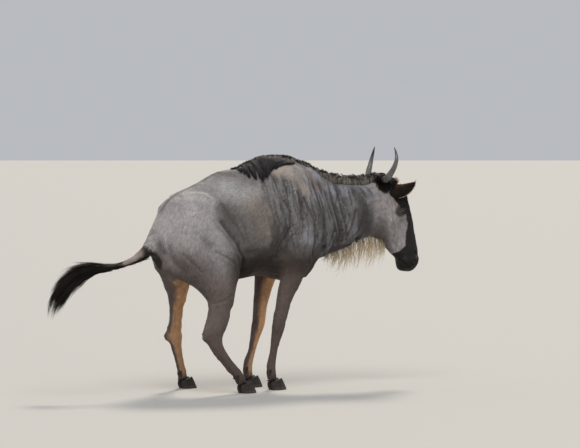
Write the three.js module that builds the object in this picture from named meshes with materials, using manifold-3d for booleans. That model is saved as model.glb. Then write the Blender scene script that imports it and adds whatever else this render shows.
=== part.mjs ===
// A white-bearded wildebeest cow, life size, in the crouch that she takes to relieve herself: hind legs wide
// and bent, back sloping down to the rump, tail lifted, head low.
// Millimetres, +X to the head, +Y to her left, +Z up.
import * as THREE from "three";
import Module from "manifold-3d";
import { mergeVertices } from "three/addons/utils/BufferGeometryUtils.js";

const wasm = await Module();
wasm.setup();
const { Manifold, Mesh: SolidMesh } = wasm;

// Driving dimensions
const WITHERS = 1206; // ground to the skin on top of the shoulders
const CHEST_HALF_WIDTH = 172;
const BELLY_HALF_WIDTH = 198;
const HEAD_LENGTH = 512; // poll to the end of the muzzle
const HEAD_TILT = 16; // degrees of the face forward of straight down
const HEAD_TURN = -13; // degrees to her right
const POLL = [915, -48, 1096];
const EYE_RADIUS = 20;
const HORN_SPREAD = 167; // midline to the outermost line of a horn
const HORN_RISE = 172; // poll to the horn's tip
const EAR_LENGTH = 172;
const EAR_HALF = 41; // half its breadth
const HOOF_LENGTH = 92;
const CLAW_WIDTH = 34;
const CORONET = 50; // ground to the top of the hoof
const HIND_TOES_OUT = 24; // degrees, as she stands wide
const GAP = 0.5; // between neighbours that touch
const HAIR_GAP = 3; // between hair and the skin it lies on

const V = (x, y, z) => new THREE.Vector3(x, y, z);
const RIGHT = -1;
const LEFT = 1;

// The head's own frame: origin at the poll, +X out of the forehead, +Y left, -Z along the face to the muzzle.
const headFrame = new THREE.Matrix4()
  .makeTranslation(...POLL)
  .multiply(new THREE.Matrix4().makeRotationZ(THREE.MathUtils.degToRad(HEAD_TURN)))
  .multiply(new THREE.Matrix4().makeRotationY(THREE.MathUtils.degToRad(-HEAD_TILT)));
const bodyFrame = new THREE.Matrix4();

// Flesh is a field of distances: below 0 inside. A limb is a smooth chain of oval sections; a lump is an
// ellipsoid. Each joins what came before with a fillet as wide as its blend.

// A station is [x, y, z, half width, reach on the upper or front side, reach on the lower or back side].
// The sections turn about the upright by as many degrees as twist names, from none at the first station.
function limb(stations, blend, frame = bodyFrame, twist = 0) {
  const places = stations.map(([x, y, z]) => V(x, y, z).applyMatrix4(frame));
  const route = new THREE.CatmullRomCurve3(places, false, "centripetal");
  const girth = [3, 4, 5].map((k) => new THREE.CatmullRomCurve3(stations.map((s, i) => V(i, s[k], 0))));
  const count = (stations.length - 1) * 4;
  const beads = Array.from({ length: count + 1 }, (_, i) => {
    const t = i / count;
    const across = V(0, 1, 0).applyAxisAngle(V(0, 0, 1), THREE.MathUtils.degToRad(twist * t));
    across.transformDirection(frame);
    return { at: route.getPoint(t), girth: girth.map((g) => g.getPoint(t).y), across };
  });
  const widest = Math.max(...beads.map((b) => Math.max(...b.girth)));
  const box = new THREE.Box3().setFromPoints(beads.map((b) => b.at)).expandByScalar(widest + 2 * blend);
  const [along, side, up, off, near] = Array.from({ length: 5 }, () => V(0, 0, 0));
  const distance = (p) => {
    let best = Infinity;
    let found = 0;
    let share = 0;
    for (let i = 0; i < count; i++) {
      const a = beads[i].at;
      along.subVectors(beads[i + 1].at, a);
      const t = THREE.MathUtils.clamp(off.subVectors(p, a).dot(along) / along.lengthSq(), 0, 1);
      const d = off.addScaledVector(along, -t).lengthSq();
      if (d < best) {
        best = d;
        found = i;
        share = t;
      }
    }
    const a = beads[found];
    const b = beads[found + 1];
    along.subVectors(b.at, a.at);
    near.copy(a.at).addScaledVector(along, share);
    along.normalize();
    up.crossVectors(along, a.across).normalize();
    side.crossVectors(up, along);
    off.subVectors(p, near);
    const [wide, front, back] = a.girth.map((g, k) => THREE.MathUtils.lerp(g, b.girth[k], share));
    const u = off.dot(up);
    const past = off.dot(along) / Math.min(wide, front);
    const r = Math.hypot(off.dot(side) / wide, u / (u > 0 ? front : back), past);
    const length = off.length();
    return r < 1e-3 ? -Math.min(wide, front, back) : length * (1 - 1 / r);
  };
  return { box, blend, distance };
}

function lump([x, y, z], [rx, ry, rz], blend, frame = bodyFrame, turn = 0) {
  const own = frame
    .clone()
    .multiply(new THREE.Matrix4().makeTranslation(x, y, z))
    .multiply(new THREE.Matrix4().makeRotationY(THREE.MathUtils.degToRad(turn)));
  const back = own.clone().invert();
  const reach = Math.max(rx, ry, rz) + 2 * blend;
  const centre = V(0, 0, 0).applyMatrix4(own);
  const box = new THREE.Box3(centre.clone().subScalar(reach), centre.clone().addScalar(reach));
  const q = V(0, 0, 0);
  const distance = (p) => {
    q.copy(p).applyMatrix4(back);
    const r = Math.hypot(q.x / rx, q.y / ry, q.z / rz);
    const slope = Math.hypot(q.x / rx ** 2, q.y / ry ** 2, q.z / rz ** 2);
    return slope < 1e-9 ? -Math.min(rx, ry, rz) : (r * (r - 1)) / slope;
  };
  return { box, blend, distance };
}

const FAR = 400; // what the field reads away from every part
function fieldOf(parts) {
  return (p) => {
    let d = FAR;
    for (const part of parts) {
      if (!part.box.containsPoint(p)) continue;
      const e = part.distance(p);
      const h = Math.max(part.blend - Math.abs(d - e), 0) / part.blend;
      d = Math.min(d, e) - (h * h * part.blend) / 4;
    }
    return d;
  };
}

// Trunk and neck: [x, z, half width, up, down] at the middle of the body.
const TRUNK = [
  [-500, 756, 34, 54, 62],
  [-452, 812, 62, 84, 118],
  [-345, 874, 112, 154, 204],
  [-190, 893, 164, 205, 285],
  [-20, 888, BELLY_HALF_WIDTH, 250, 318],
  [140, 884, BELLY_HALF_WIDTH - 4, WITHERS - 900, 292],
  [270, 884, CHEST_HALF_WIDTH, WITHERS - 886, 304],
  [400, 884, 132, WITHERS - 938, 304],
  [482, 894, 92, 238, 204],
].map(([x, z, half, up, down]) => [x, 0, z, half, up, down]);
const NECK = [
  [360, 0, 930, 92, 240, 274],
  [500, -4, 908, 88, 214, 224],
  [640, -18, 908, 78, 172, 196],
  [770, -38, 930, 72, 138, 160],
  [890, -52, 950, 66, 116, 150],
];

const SPINE = [
  [-120, 0, 1010, 60, 118, 100],
  [150, 0, 1100, 48, 104, 100],
  [300, 0, 1110, 42, 96, 100],
  [440, 0, 1050, 44, 98, 90],
];
const BRISKET = [
  [300, 0, 660, 70, 60, 90],
  [382, 0, 642, 62, 60, 80],
  [432, 0, 716, 40, 56, 56],
];

// Legs: shared girths, and each leg's own line from the elbow or hip to the foot: [x, distance from the
// midline, z].
const FORE_GIRTH = [
  [56, 84, 78],
  [46, 68, 66],
  [39, 55, 52],
  [34, 46, 45],
  [33, 38, 39],
  [25, 27, 28],
  [20, 22, 23],
  [26, 26, 31],
  [27, 25, 25],
];
const FORE_LINES = {
  right: [
    [300, 128, 690],
    [272, 126, 590],
    [243, 124, 520],
    [222, 122, 455],
    [194, 120, 335],
    [176, 118, 258],
    [162, 117, 190],
    [148, 116, 105],
    [158, 116, 52],
  ],
  left: [
    [305, 128, 690],
    [280, 126, 590],
    [262, 124, 520],
    [248, 122, 455],
    [230, 120, 335],
    [206, 118, 258],
    [186, 117, 190],
    [158, 116, 105],
    [166, 116, 52],
  ],
};
const HIND_GIRTH = [
  [74, 150, 110],
  [80, 165, 135],
  [74, 138, 128],
  [50, 84, 84],
  [35, 66, 58],
  [28, 52, 46],
  [28, 49, 50],
  [22, 37, 38],
  [19, 30, 30],
  [24, 29, 33],
  [26, 26, 26],
];
const HIND_LINES = {
  right: [
    [-318, 98, 880],
    [-310, 128, 765],
    [-262, 152, 660],
    [-232, 168, 565],
    [-222, 178, 490],
    [-246, 184, 400],
    [-268, 190, 318],
    [-246, 196, 240],
    [-186, 206, 158],
    [-128, 216, 92],
    [-104, 220, 50],
  ],
  left: [
    [-318, 98, 880],
    [-310, 128, 765],
    [-266, 152, 660],
    [-254, 168, 565],
    [-248, 178, 490],
    [-247, 186, 395],
    [-246, 194, 300],
    [-234, 202, 225],
    [-206, 218, 150],
    [-182, 234, 92],
    [-168, 242, 50],
  ],
};

// The fold of skin in front of each thigh, stretched on the right, whose knee is drawn forward.
const THIGH_FOLD = {
  right: [
    [-175, 150, 760, 46, 60, 60],
    [-142, 172, 682, 44, 58, 50],
    [-142, 174, 620, 36, 50, 50],
    [-168, 176, 545, 30, 54, 50],
    [-198, 178, 465, 26, 58, 40],
    [-214, 182, 400, 24, 58, 40],
    [-240, 188, 340, 24, 44, 40],
  ],
  left: [
    [-175, 150, 760, 46, 60, 60],
    [-150, 176, 665, 44, 46, 50],
  ],
};

const legLimb = (line, girth, side, blend, twist = 0) =>
  limb(
    line.map(([x, y, z], i) => [x, side * y, z, ...girth[i]]),
    blend,
    bodyFrame,
    side * twist,
  );

function foreParts(side, line) {
  const shoulder = [
    [285, side * 78, 1104, 38, 62, 66],
    [350, side * 118, 960, 52, 84, 92],
    [415, side * 122, 820, 50, 62, 80],
  ];
  const upperArm = [
    [400, side * 112, 810, 52, 66, 70],
    [300, side * 128, 680, 56, 78, 74],
  ];
  return [limb(shoulder, 90), limb(upperArm, 70), legLimb(line, FORE_GIRTH, side, 46)];
}

function hindParts(side, line, fold) {
  const hock = line[6];
  const buttock = [
    [-398, side * 42, 815, 48, 74, 82],
    [-398, side * 43, 735, 54, 80, 92],
    [-388, side * 45, 668, 54, 76, 84],
    [-354, side * 62, 614, 50, 64, 46],
    [-310, side * 100, 577, 48, 56, 28],
    [-262, side * 146, 535, 44, 50, 36],
  ];
  const stifle = fold.map(([x, y, z, ...girth]) => [x, side * y, z, ...girth]);
  const pelvis = [
    [-392, side * 42, 958, 30, 30, 44],
    [-310, side * 92, 968, 34, 36, 60],
    [-214, side * 130, 948, 34, 44, 70],
  ];
  return [
    limb(pelvis, 50),
    legLimb(line, HIND_GIRTH, side, 60, HIND_TOES_OUT),
    limb(stifle, 60),
    limb(buttock, 60),
    lump([hock[0] - 52, side * hock[1], hock[2] - 14], [22, 16, 30], 34), // point of the hock
  ];
}

// The head, in its own frame: [x, y, z, half width, forehead side, throat side].
const faceAt = (share) => -share * HEAD_LENGTH;
const FACE = [
  [-12, 0, faceAt(0.06), 58, 82, 70],
  [-22, 0, faceAt(0.2), 72, 134, 96],
  [-22, 0, faceAt(0.4), 64, 138, 112],
  [-8, 0, faceAt(0.58), 51, 124, 104],
  [6, 0, faceAt(0.74), 43, 100, 74],
  [16, 0, faceAt(0.86), 46, 82, 48],
  [18, 0, faceAt(0.94), 48, 56, 40],
];
const EYE_SEAT = { x: 44, y: 62, z: faceAt(0.385) };
function headParts() {
  const at = (x, y, share) => [x, y, faceAt(share)];
  const parts = [limb(FACE, 46, headFrame)];
  for (const side of [RIGHT, LEFT]) {
    parts.push(
      lump([EYE_SEAT.x, side * (EYE_SEAT.y - 8), EYE_SEAT.z], [38, 26, 42], 26, headFrame), // orbit
      lump(at(-58, side * 36, 0.44), [62, 26, 78], 40, headFrame), // cheek
      lump(at(18, side * 60, 0.07), [34, 30, 36], 30, headFrame), // root of the horn
      lump(at(38, side * 34, 0.915), [38, 26, 34], 22, headFrame), // nostril
      lump(at(0, side * 26, 0.91), [30, 26, 42], 20, headFrame), // lip
    );
  }
  parts.push(lump(at(-14, 0, 0.91), [26, 32, 34], 20, headFrame)); // chin
  return parts;
}

// The tail's root follows the croup down and back, then lifts clear of the rump.
const DOCK = [
  [-468, 6, 800, 52, 34, 46],
  [-532, 6, 752, 34, 30, 32],
  [-586, 8, 716, 24, 24, 24],
  [-645, 12, 686, 18, 18, 18],
  [-715, 18, 663, 14, 14, 14],
  [-775, 22, 656, 10, 10, 10],
];

const body = fieldOf([
  limb(TRUNK, 10),
  limb(NECK, 110),
  ...foreParts(RIGHT, FORE_LINES.right),
  ...foreParts(LEFT, FORE_LINES.left),
  ...hindParts(RIGHT, HIND_LINES.right, THIGH_FOLD.right),
  ...hindParts(LEFT, HIND_LINES.left, THIGH_FOLD.left),
  limb(SPINE, 60),
  limb(BRISKET, 60),
  limb(DOCK, 40),
  ...headParts(),
]);

// A cell wall whose opposite corners are inside, and the other two outside, would pinch two sheets of skin
// into one edge, so the shallower inside corner is emptied. Tells whether there was such a wall.
function emptied(values, size, stride) {
  let found = false;
  for (let here = 0; here < values.length; here++)
    for (let axis = 0; axis < 3; axis++) {
      const [p, q] = [(axis + 1) % 3, (axis + 2) % 3];
      const step = [p, q].map((k) => Math.floor(here / stride[k]) % size[k]);
      if (step[0] === size[p] - 1 || step[1] === size[q] - 1) continue;
      const wall = [here, here + stride[p] + stride[q], here + stride[p], here + stride[q]];
      const [a, b, c, d] = wall.map((corner) => values[corner] < 0);
      if (a !== b || c !== d || a === c) continue;
      const pair = a ? wall.slice(0, 2) : wall.slice(2);
      values[values[pair[0]] > values[pair[1]] ? pair[0] : pair[1]] = 1e-9;
      found = true;
    }
  return found;
}

// Meshing: one vertex in each cell that the surface crosses, moved onto the surface but kept off the cell's
// walls, and a quad over each crossed edge.
const CELL_RIM = 0.06; // share of a cell that its vertex keeps clear of
function skinned(field, low, high, cell, grow = 0) {
  const size = cell.map((c, k) => Math.ceil((high[k] - low[k]) / c) + 1);
  const index = (i, j, k) => (i * size[1] + j) * size[2] + k;
  const values = new Float64Array(size[0] * size[1] * size[2]);
  const at = (i, j, k) => V(low[0] + i * cell[0], low[1] + j * cell[1], low[2] + k * cell[2]);
  const rim = (n, k) => n === 0 || n === size[k] - 1;
  for (let i = 0; i < size[0]; i++)
    for (let j = 0; j < size[1]; j++)
      for (let k = 0; k < size[2]; k++) {
        const outer = rim(i, 0) || rim(j, 1) || rim(k, 2);
        const d = field(at(i, j, k)) - grow;
        values[index(i, j, k)] = outer ? Math.max(d, 1) : d || 1e-9;
      }
  const stride = [size[1] * size[2], size[2], 1];
  while (emptied(values, size, stride));
  const corners = Array.from({ length: 8 }, (_, c) => [c & 1, (c >> 1) & 1, (c >> 2) & 1]);
  const vertexOf = new Map();
  const vertices = [];
  const slope = V(0, 0, 0);
  const settle = (p, cellLow) => {
    const step = 0.5;
    const most = Math.min(...cell) * 0.3;
    for (let round = 0; round < 3; round++) {
      const d = field(p) - grow;
      slope.set(
        field(V(p.x + step, p.y, p.z)) - field(V(p.x - step, p.y, p.z)),
        field(V(p.x, p.y + step, p.z)) - field(V(p.x, p.y - step, p.z)),
        field(V(p.x, p.y, p.z + step)) - field(V(p.x, p.y, p.z - step)),
      );
      const steep = slope.length() / (2 * step);
      if (steep < 0.2) break;
      p.addScaledVector(slope.normalize(), -THREE.MathUtils.clamp(d / steep, -most, most));
    }
    const near = V(...cell).multiplyScalar(CELL_RIM).add(cellLow);
    return p.clamp(near, V(...cell).multiplyScalar(1 - CELL_RIM).add(cellLow));
  };
  for (let i = 0; i < size[0] - 1; i++)
    for (let j = 0; j < size[1] - 1; j++)
      for (let k = 0; k < size[2] - 1; k++) {
        const v = corners.map(([a, b, c]) => values[index(i + a, j + b, k + c)]);
        if (v.every((x) => x < 0) || v.every((x) => x > 0)) continue;
        const sum = V(0, 0, 0);
        let crossings = 0;
        for (let a = 0; a < 8; a++)
          for (let axis = 0; axis < 3; axis++) {
            const b = a | (1 << axis);
            if (a === b || v[a] > 0 === v[b] > 0) continue;
            const share = v[a] / (v[a] - v[b]);
            const p = at(i + corners[a][0], j + corners[a][1], k + corners[a][2]);
            p.setComponent(axis, p.getComponent(axis) + share * cell[axis]);
            sum.add(p);
            crossings++;
          }
        vertexOf.set(index(i, j, k), vertices.length);
        vertices.push(settle(sum.divideScalar(crossings), at(i, j, k)));
      }
  const faces = [];
  for (let i = 0; i < size[0] - 1; i++)
    for (let j = 0; j < size[1] - 1; j++)
      for (let k = 0; k < size[2] - 1; k++) {
        const here = index(i, j, k);
        for (let axis = 0; axis < 3; axis++) {
          const inside = values[here] < 0;
          if (inside === values[here + stride[axis]] < 0) continue;
          const [p, q] = [stride[(axis + 1) % 3], stride[(axis + 2) % 3]];
          const quad = [here - p - q, here - q, here, here - p].map((c) => vertexOf.get(c));
          if (!inside) quad.reverse();
          const [a, b, c, d] = quad;
          const short = vertices[a].distanceTo(vertices[c]) < vertices[b].distanceTo(vertices[d]);
          faces.push(...(short ? [a, b, c, a, c, d] : [a, b, d, b, c, d]));
        }
      }
  return new Manifold(
    new SolidMesh({
      numProp: 3,
      vertProperties: new Float32Array(vertices.flatMap((p) => p.toArray())),
      triVerts: new Uint32Array(faces),
    }),
  );
}

// A three.js geometry as a solid, and back.
function solidOf(geometry) {
  const bare = geometry.clone();
  bare.deleteAttribute("normal");
  bare.deleteAttribute("uv");
  const merged = mergeVertices(bare, 1e-3);
  const position = new Float32Array(merged.attributes.position.array);
  return new Manifold(
    new SolidMesh({ numProp: 3, vertProperties: position, triVerts: new Uint32Array(merged.index.array) }),
  );
}
function geometryOf(solid) {
  const m = solid.getMesh();
  const geometry = new THREE.BufferGeometry();
  geometry.setAttribute("position", new THREE.BufferAttribute(new Float32Array(m.vertProperties), m.numProp));
  geometry.setIndex(new THREE.BufferAttribute(new Uint32Array(m.triVerts), 1));
  geometry.computeVertexNormals();
  return geometry;
}
const biggest = (solid) => solid.decompose().sort((a, b) => b.volume() - a.volume())[0];

// All that lies beyond a plane through a point, on the side that the direction points to.
const REACH = 4000;
function beyond(point, direction, margin = GAP / 2) {
  const n = V(...direction).normalize();
  const box = new THREE.BoxGeometry(REACH, REACH, REACH).translate(0, 0, REACH / 2);
  box.applyQuaternion(new THREE.Quaternion().setFromUnitVectors(V(0, 0, 1), n));
  return solidOf(box.translate(...V(...point).addScaledVector(n, margin).toArray()));
}
const both = (...solids) => solids.reduce((a, b) => a.intersect(b));

// A skin through rings of equal length, with a flat or pointed end at each side.
function loft(rings) {
  const n = rings[0].length;
  const points = rings.flat();
  const faces = [];
  for (let r = 0; r < rings.length - 1; r++)
    for (let i = 0; i < n; i++) {
      const [a, b] = [r * n + i, r * n + ((i + 1) % n)];
      faces.push(a, b, b + n, a, b + n, a + n);
    }
  const middle = (ring) => ring.reduce((s, p) => s.add(p), V(0, 0, 0)).divideScalar(n);
  for (const [ring, start, turned] of [[rings[0], 0, true], [rings.at(-1), (rings.length - 1) * n, false]]) {
    points.push(middle(ring));
    for (let i = 0; i < n; i++) {
      const [a, b] = [start + i, start + ((i + 1) % n)];
      faces.push(...(turned ? [b, a, points.length - 1] : [a, b, points.length - 1]));
    }
  }
  const geometry = new THREE.BufferGeometry().setFromPoints(points);
  geometry.setIndex(faces);
  return outward(solidOf(geometry), geometry);
}
function outward(solid, geometry) {
  if (solid.volume() > 0) return solid;
  const turned = Array.from(geometry.index.array);
  for (let i = 0; i < turned.length; i += 3) [turned[i], turned[i + 1]] = [turned[i + 1], turned[i]];
  geometry.setIndex(turned);
  return solidOf(geometry);
}

// A tapering sweep along a curve; section(t) gives [half width, half height], the width along the given side.
function sweep(route, steps, sides, section, sideways) {
  const rings = Array.from({ length: steps + 1 }, (_, i) => {
    const t = i / steps;
    const at = route.getPointAt(t);
    const along = route.getTangentAt(t);
    const up = V(0, 0, 0).crossVectors(along, sideways).normalize();
    const side = V(0, 0, 0).crossVectors(up, along);
    const [wide, high] = section(t);
    return Array.from({ length: sides }, (_, s) => {
      const angle = (s / sides) * 2 * Math.PI;
      return at
        .clone()
        .addScaledVector(side, Math.cos(angle) * wide)
        .addScaledVector(up, Math.sin(angle) * high);
    });
  });
  return loft(rings);
}

// Materials
const coat = (name, colour, roughness = 0.85) =>
  new THREE.MeshStandardMaterial({ name, color: new THREE.Color(...colour), roughness, metalness: 0 });
const GREY_COAT = coat("grey_coat", [0.33, 0.29, 0.27]);
const DARK_COAT = coat("dark_coat", [0.06, 0.05, 0.045]);
const PALE_BEARD = coat("pale_beard", [0.72, 0.62, 0.45]);
const BLACK_HAIR = coat("black_hair", [0.03, 0.03, 0.032], 0.6);
const HORN = coat("horn", [0.2, 0.18, 0.17], 0.45);
const HOOF = coat("hoof", [0.07, 0.06, 0.055], 0.55);
const EYE = coat("eye", [0.03, 0.02, 0.015], 0.1);

const animal = new THREE.Group();
function add(name, solid, material) {
  const mesh = new THREE.Mesh(geometryOf(biggest(solid)), material);
  mesh.name = name;
  animal.add(mesh);
}

// Where the flesh is parted: each plane is a point and the direction of the part that is named after it.
const NECK_BASE = [[505, 0, 900], [1, 0, 0.16]];
const POLL_PLANE = [[846, -50, 980], [0.86, -0.2, -0.46]];
const DOCK_PLANE = [[-512, 0, 760], [-0.82, 0, -0.5]];
const DOCK_FLOOR = [[-480, 0, 694], [-0.6, 0, 1]];
const DOCK_HALF = 62;
const CARPUS = 336;
const HOCK = 292;
const FETLOCK = 122;
const CORONET_SLOPE = 0.22; // the coronet rises to the toe
const TOP_PLANES = {
  fore: (side) => [
    [[320, 0, 705], [0.22, 0, -1]],
    [[0, side * 48, 0], [0, side, 0]],
    [[180, 0, 600], [1, 0, -0.25]],
  ],
  hind: (side) => [
    [[-300, 0, 905], [0.1, 0, -1]],
    [[0, side * 66, 0], [0, side, 0]],
    [[-165, 0, 780], [-1, 0, -0.36]],
  ],
};

const inside = (planes, margin = GAP / 2) => both(...planes.map((plane) => beyond(...plane, margin)));
const turned = ([point, direction]) => [point, direction.map((c) => -c)];
const level = (z, way) => [[0, 0, z], [0, 0, way]];
const dockSides = [[[0, -DOCK_HALF, 0], [0, 1, 0]], [[0, DOCK_HALF, 0], [0, -1, 0]]];
const dockPlanes = [DOCK_PLANE, DOCK_FLOOR, ...dockSides];

// The flesh on one grid of cells for each part, plain or grown outwards, so that neighbours follow the same
// facets: [lowest corner, highest corner, cell].
const GRIDS = {
  trunk: [[-640, -330, 420], [620, 330, 1290], [66, 54, 60]],
  neck: [[420, -240, 560], [1080, 180, 1240], [54, 38, 50]],
  head: [[740, -300, 500], [1190, 160, 1200], [26, 23, 29]],
  tail_dock: [[-840, -90, 600], [-440, 110, 900], [36, 13, 14]],
};
const FACET_ERROR = 1.9; // flats that differ by less than this from the finer mesh are joined
const TRIM_ERROR = 0.8; // the same for hair, horns and ears
const made = new Map();
function flesh(part, grow = 0) {
  const key = `${part} ${grow}`;
  if (!made.has(key)) made.set(key, skinned(body, ...GRIDS[part], grow).simplify(FACET_ERROR));
  return made.get(key);
}

function buildBody() {
  let trunk = flesh("trunk").intersect(inside([turned(NECK_BASE)])).subtract(inside(dockPlanes, -GAP / 2));
  for (const side of [RIGHT, LEFT])
    for (const kind of ["fore", "hind"]) trunk = trunk.subtract(inside(TOP_PLANES[kind](side), -GAP / 2));
  add("trunk", trunk, GREY_COAT);
  add("neck", flesh("neck").intersect(inside([NECK_BASE, turned(POLL_PLANE)])), GREY_COAT);
  add("tail_dock", flesh("tail_dock").intersect(inside(dockPlanes)), GREY_COAT);
}

function buildLeg(kind, sideName, side) {
  const fore = kind === "fore";
  const line = (fore ? FORE_LINES : HIND_LINES)[sideName];
  const knee = fore ? CARPUS : HOCK;
  const xs = line.map((p) => p[0]);
  const span = (inner, outer) => (side > 0 ? [inner, outer] : [-outer, -inner]);
  const grid = (reach, [y0, y1], [z0, z1], cell) => [
    [Math.min(...xs) - reach, y0, z0],
    [Math.max(...xs) + reach, y1, z1],
    cell,
  ];
  const upperCell = fore ? [34, 28, 46] : [42, 33, 42];
  const upper = grid(fore ? 180 : 250, span(20, 330), [knee - 40, fore ? 790 : 970], upperCell);
  const shin = grid(70, span(60, 320), [FETLOCK - 30, knee + 30], [16, 15, 30]);
  const ankle = grid(90, span(60, 320), [20, FETLOCK + 24], [18, 17, 20]);
  const foot = line.at(-1);
  const coronet = [[foot[0], 0, CORONET], [-CORONET_SLOPE, 0, 1]];
  const limbMesh = (cells, grow = 0) => skinned(body, ...cells, grow).simplify(FACET_ERROR);
  const part = (name, cells, planes) =>
    add(`${kind}leg_${sideName}_${name}`, limbMesh(cells).intersect(inside(planes)), GREY_COAT);
  part("upper", upper, [...TOP_PLANES[kind](side), level(knee, 1)]);
  part("cannon", shin, [level(knee, -1), level(FETLOCK, 1)]);
  part("pastern", ankle, [level(FETLOCK, -1), coronet]);
  const grown = limbMesh(ankle, 4 * GAP).add(limbMesh(shin, 4 * GAP));
  for (const [place, way] of [["inner", -side], ["outer", side]]) {
    add(`${kind}leg_${sideName}_hoof_${place}`, hoofSolid(foot[0], side * foot[1], way), HOOF);
    const dewclaw = dewclawSolid(line.at(-2), side, way).subtract(grown).simplify(GAP);
    add(`${kind}leg_${sideName}_dewclaw_${place}`, dewclaw, HOOF);
  }
}

// A claw runs from a round heel to a point, nearly straight along the cleft, and leans in to the coronet.
function hoofSolid(x, y, way) {
  const top = (px) => CORONET + (px - x) * CORONET_SLOPE - GAP;
  const corners = 10;
  const outline = (scale, back, height) =>
    Array.from({ length: corners }, (_, i) => {
      const angle = (i / corners) * 2 * Math.PI;
      const ahead = Math.cos(angle);
      const taper = 0.86 - 0.34 * ahead - 0.16 * ahead * ahead;
      const out = Math.sin(angle) * taper;
      const px = x + 20 - back + (ahead * scale * HOOF_LENGTH) / 2;
      const swell = out < 0 ? 0.62 : 1.1;
      return V(px, y + way * CLAW_WIDTH * (0.48 + out * swell * scale * 0.62), height(px));
    });
  return loft([outline(1, 0, () => 0), outline(0.87, 10, (px) => top(px) * 0.5), outline(0.7, 22, top)]);
}

const DEWCLAW_SIDES = 6;
function dewclawSolid([x, y, z], side, way) {
  const rings = [0, 0.5, 1].map((t) => {
    const r = THREE.MathUtils.lerp(11, 4, t * t);
    const at = V(x - 29 - 8 * t, side * y + way * (14 + 3 * t), z + 4 - 28 * t);
    return Array.from({ length: DEWCLAW_SIDES }, (_, i) => {
      const angle = (i / DEWCLAW_SIDES) * 2 * Math.PI;
      return at.clone().add(V(Math.cos(angle) * r, Math.sin(angle) * r * 0.8, 0));
    });
  });
  return loft(rings);
}

// Ears: a cupped leaf, its sections crescents, that opens up and forward below the horn.
function earSolid(side) {
  const root = V(-26, side * 60, faceAt(0.145));
  const lie = V(0.91, side * 0.38, 0.1).normalize();
  const opening = V(0.38, -side * 0.86, 0.34);
  const tip = root.clone().addScaledVector(lie, EAR_LENGTH);
  const bulge = V(-6, side * 12, -54);
  const route = new THREE.QuadraticBezierCurve3(root, root.clone().lerp(tip, 0.5).add(bulge), tip);
  const steps = 9;
  const arc = 6;
  const rings = Array.from({ length: steps + 1 }, (_, i) => {
    const t = i / steps;
    const at = route.getPoint(t);
    const along = route.getTangent(t);
    const out = opening.clone().addScaledVector(along, -opening.dot(along)).normalize().negate();
    const broad = V(0, 0, 0).crossVectors(out, along);
    const half = EAR_HALF * Math.sin(Math.PI * (0.2 + t * 0.8)) ** 0.7 + 1.5;
    const cup = THREE.MathUtils.degToRad(THREE.MathUtils.lerp(112, 40, t ** 0.7));
    const thick = THREE.MathUtils.lerp(5, 2.4, t);
    const r = half / Math.sin(Math.min(cup, Math.PI / 2));
    const bend = (depth, share) => {
      const angle = (share - 0.5) * 2 * cup;
      return at
        .clone()
        .addScaledVector(broad, Math.sin(angle) * (r + depth))
        .addScaledVector(out, Math.cos(angle) * (r + depth) - r)
        .applyMatrix4(headFrame);
    };
    const outer = Array.from({ length: arc }, (_, k) => bend(thick, k / (arc - 1)));
    const inner = Array.from({ length: arc }, (_, k) => bend(0, 1 - k / (arc - 1)));
    return [...outer, ...inner];
  });
  return loft(rings);
}

// Horns: out from the crown, slightly down, then up and in to the tips. They stand upright over the poll
// whatever the tilt of the face. Each point is [forward, share of the spread, share of the rise].
const HORN_LINE = [
  [-20, 0.24, 0.06],
  [-24, 0.48, 0],
  [-22, 0.7, 0],
  [-12, 0.89, 0.16],
  [4, 0.99, 0.38],
  [15, 1, 0.62],
  [18, 0.91, 0.82],
  [17, 0.78, 1],
];
const hornFrame = new THREE.Matrix4()
  .makeTranslation(...POLL)
  .multiply(new THREE.Matrix4().makeRotationZ(THREE.MathUtils.degToRad(HEAD_TURN)));
function hornSolid(side) {
  const points = HORN_LINE.map(([x, out, rise]) => V(x, side * out * HORN_SPREAD, rise * HORN_RISE));
  const route = new THREE.CatmullRomCurve3(points.map((p) => p.applyMatrix4(hornFrame)));
  const radius = (t) => 24 * (1 - t) ** 0.7 * (1 - 0.2 * t) + 2.2;
  return sweep(route, 12, 8, (t) => [radius(t), radius(t) * 0.94], V(1, 0, 0));
}

function buildHead() {
  const grown = [flesh("head", HAIR_GAP), flesh("neck", HAIR_GAP)];
  const clear = (solid) => grown.reduce((s, g) => s.subtract(g), solid).simplify(TRIM_ERROR);
  let head = flesh("head").intersect(inside([POLL_PLANE]));
  for (const [sideName, side] of [["right", RIGHT], ["left", LEFT]]) {
    const centre = V(EYE_SEAT.x, side * EYE_SEAT.y, EYE_SEAT.z).applyMatrix4(headFrame);
    const ball = (r) => solidOf(new THREE.SphereGeometry(r, 12, 8).translate(...centre.toArray()));
    add(`eye_${sideName}`, ball(EYE_RADIUS), EYE);
    head = head.subtract(ball(EYE_RADIUS + 2 * GAP));
    const horn = hornSolid(side);
    add(`horn_${sideName}`, clear(horn), HORN);
    add(`ear_${sideName}`, clear(earSolid(side).subtract(horn)), DARK_COAT);
  }
  add("head", head, GREY_COAT);
}

// A curtain of hair: at each station [x, y, z above, z below, half thickness above, half thickness below].
function curtain(stations) {
  return loft(
    stations.map(([x, y, high, low, wide, thin]) => {
      const middle = (high + low) / 2;
      const half = (wide + thin) / 2;
      return [
        V(x, y - wide, high),
        V(x, y + wide, high),
        V(x, y + half, middle),
        V(x, y + thin, low),
        V(x, y - thin, low),
        V(x, y - half, middle),
      ];
    }),
  );
}

// The crest stands along the neck from the withers to the poll; its roots lie inside the flesh.
const CREST = [
  [396, 0, 1200],
  [450, -1, 1184],
  [520, -6, 1154],
  [600, -14, 1128],
  [690, -26, 1114],
  [780, -40, 1112],
  [860, -48, 1116],
  [905, -50, 1114],
];
const CREST_ROOT = 70;
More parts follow.
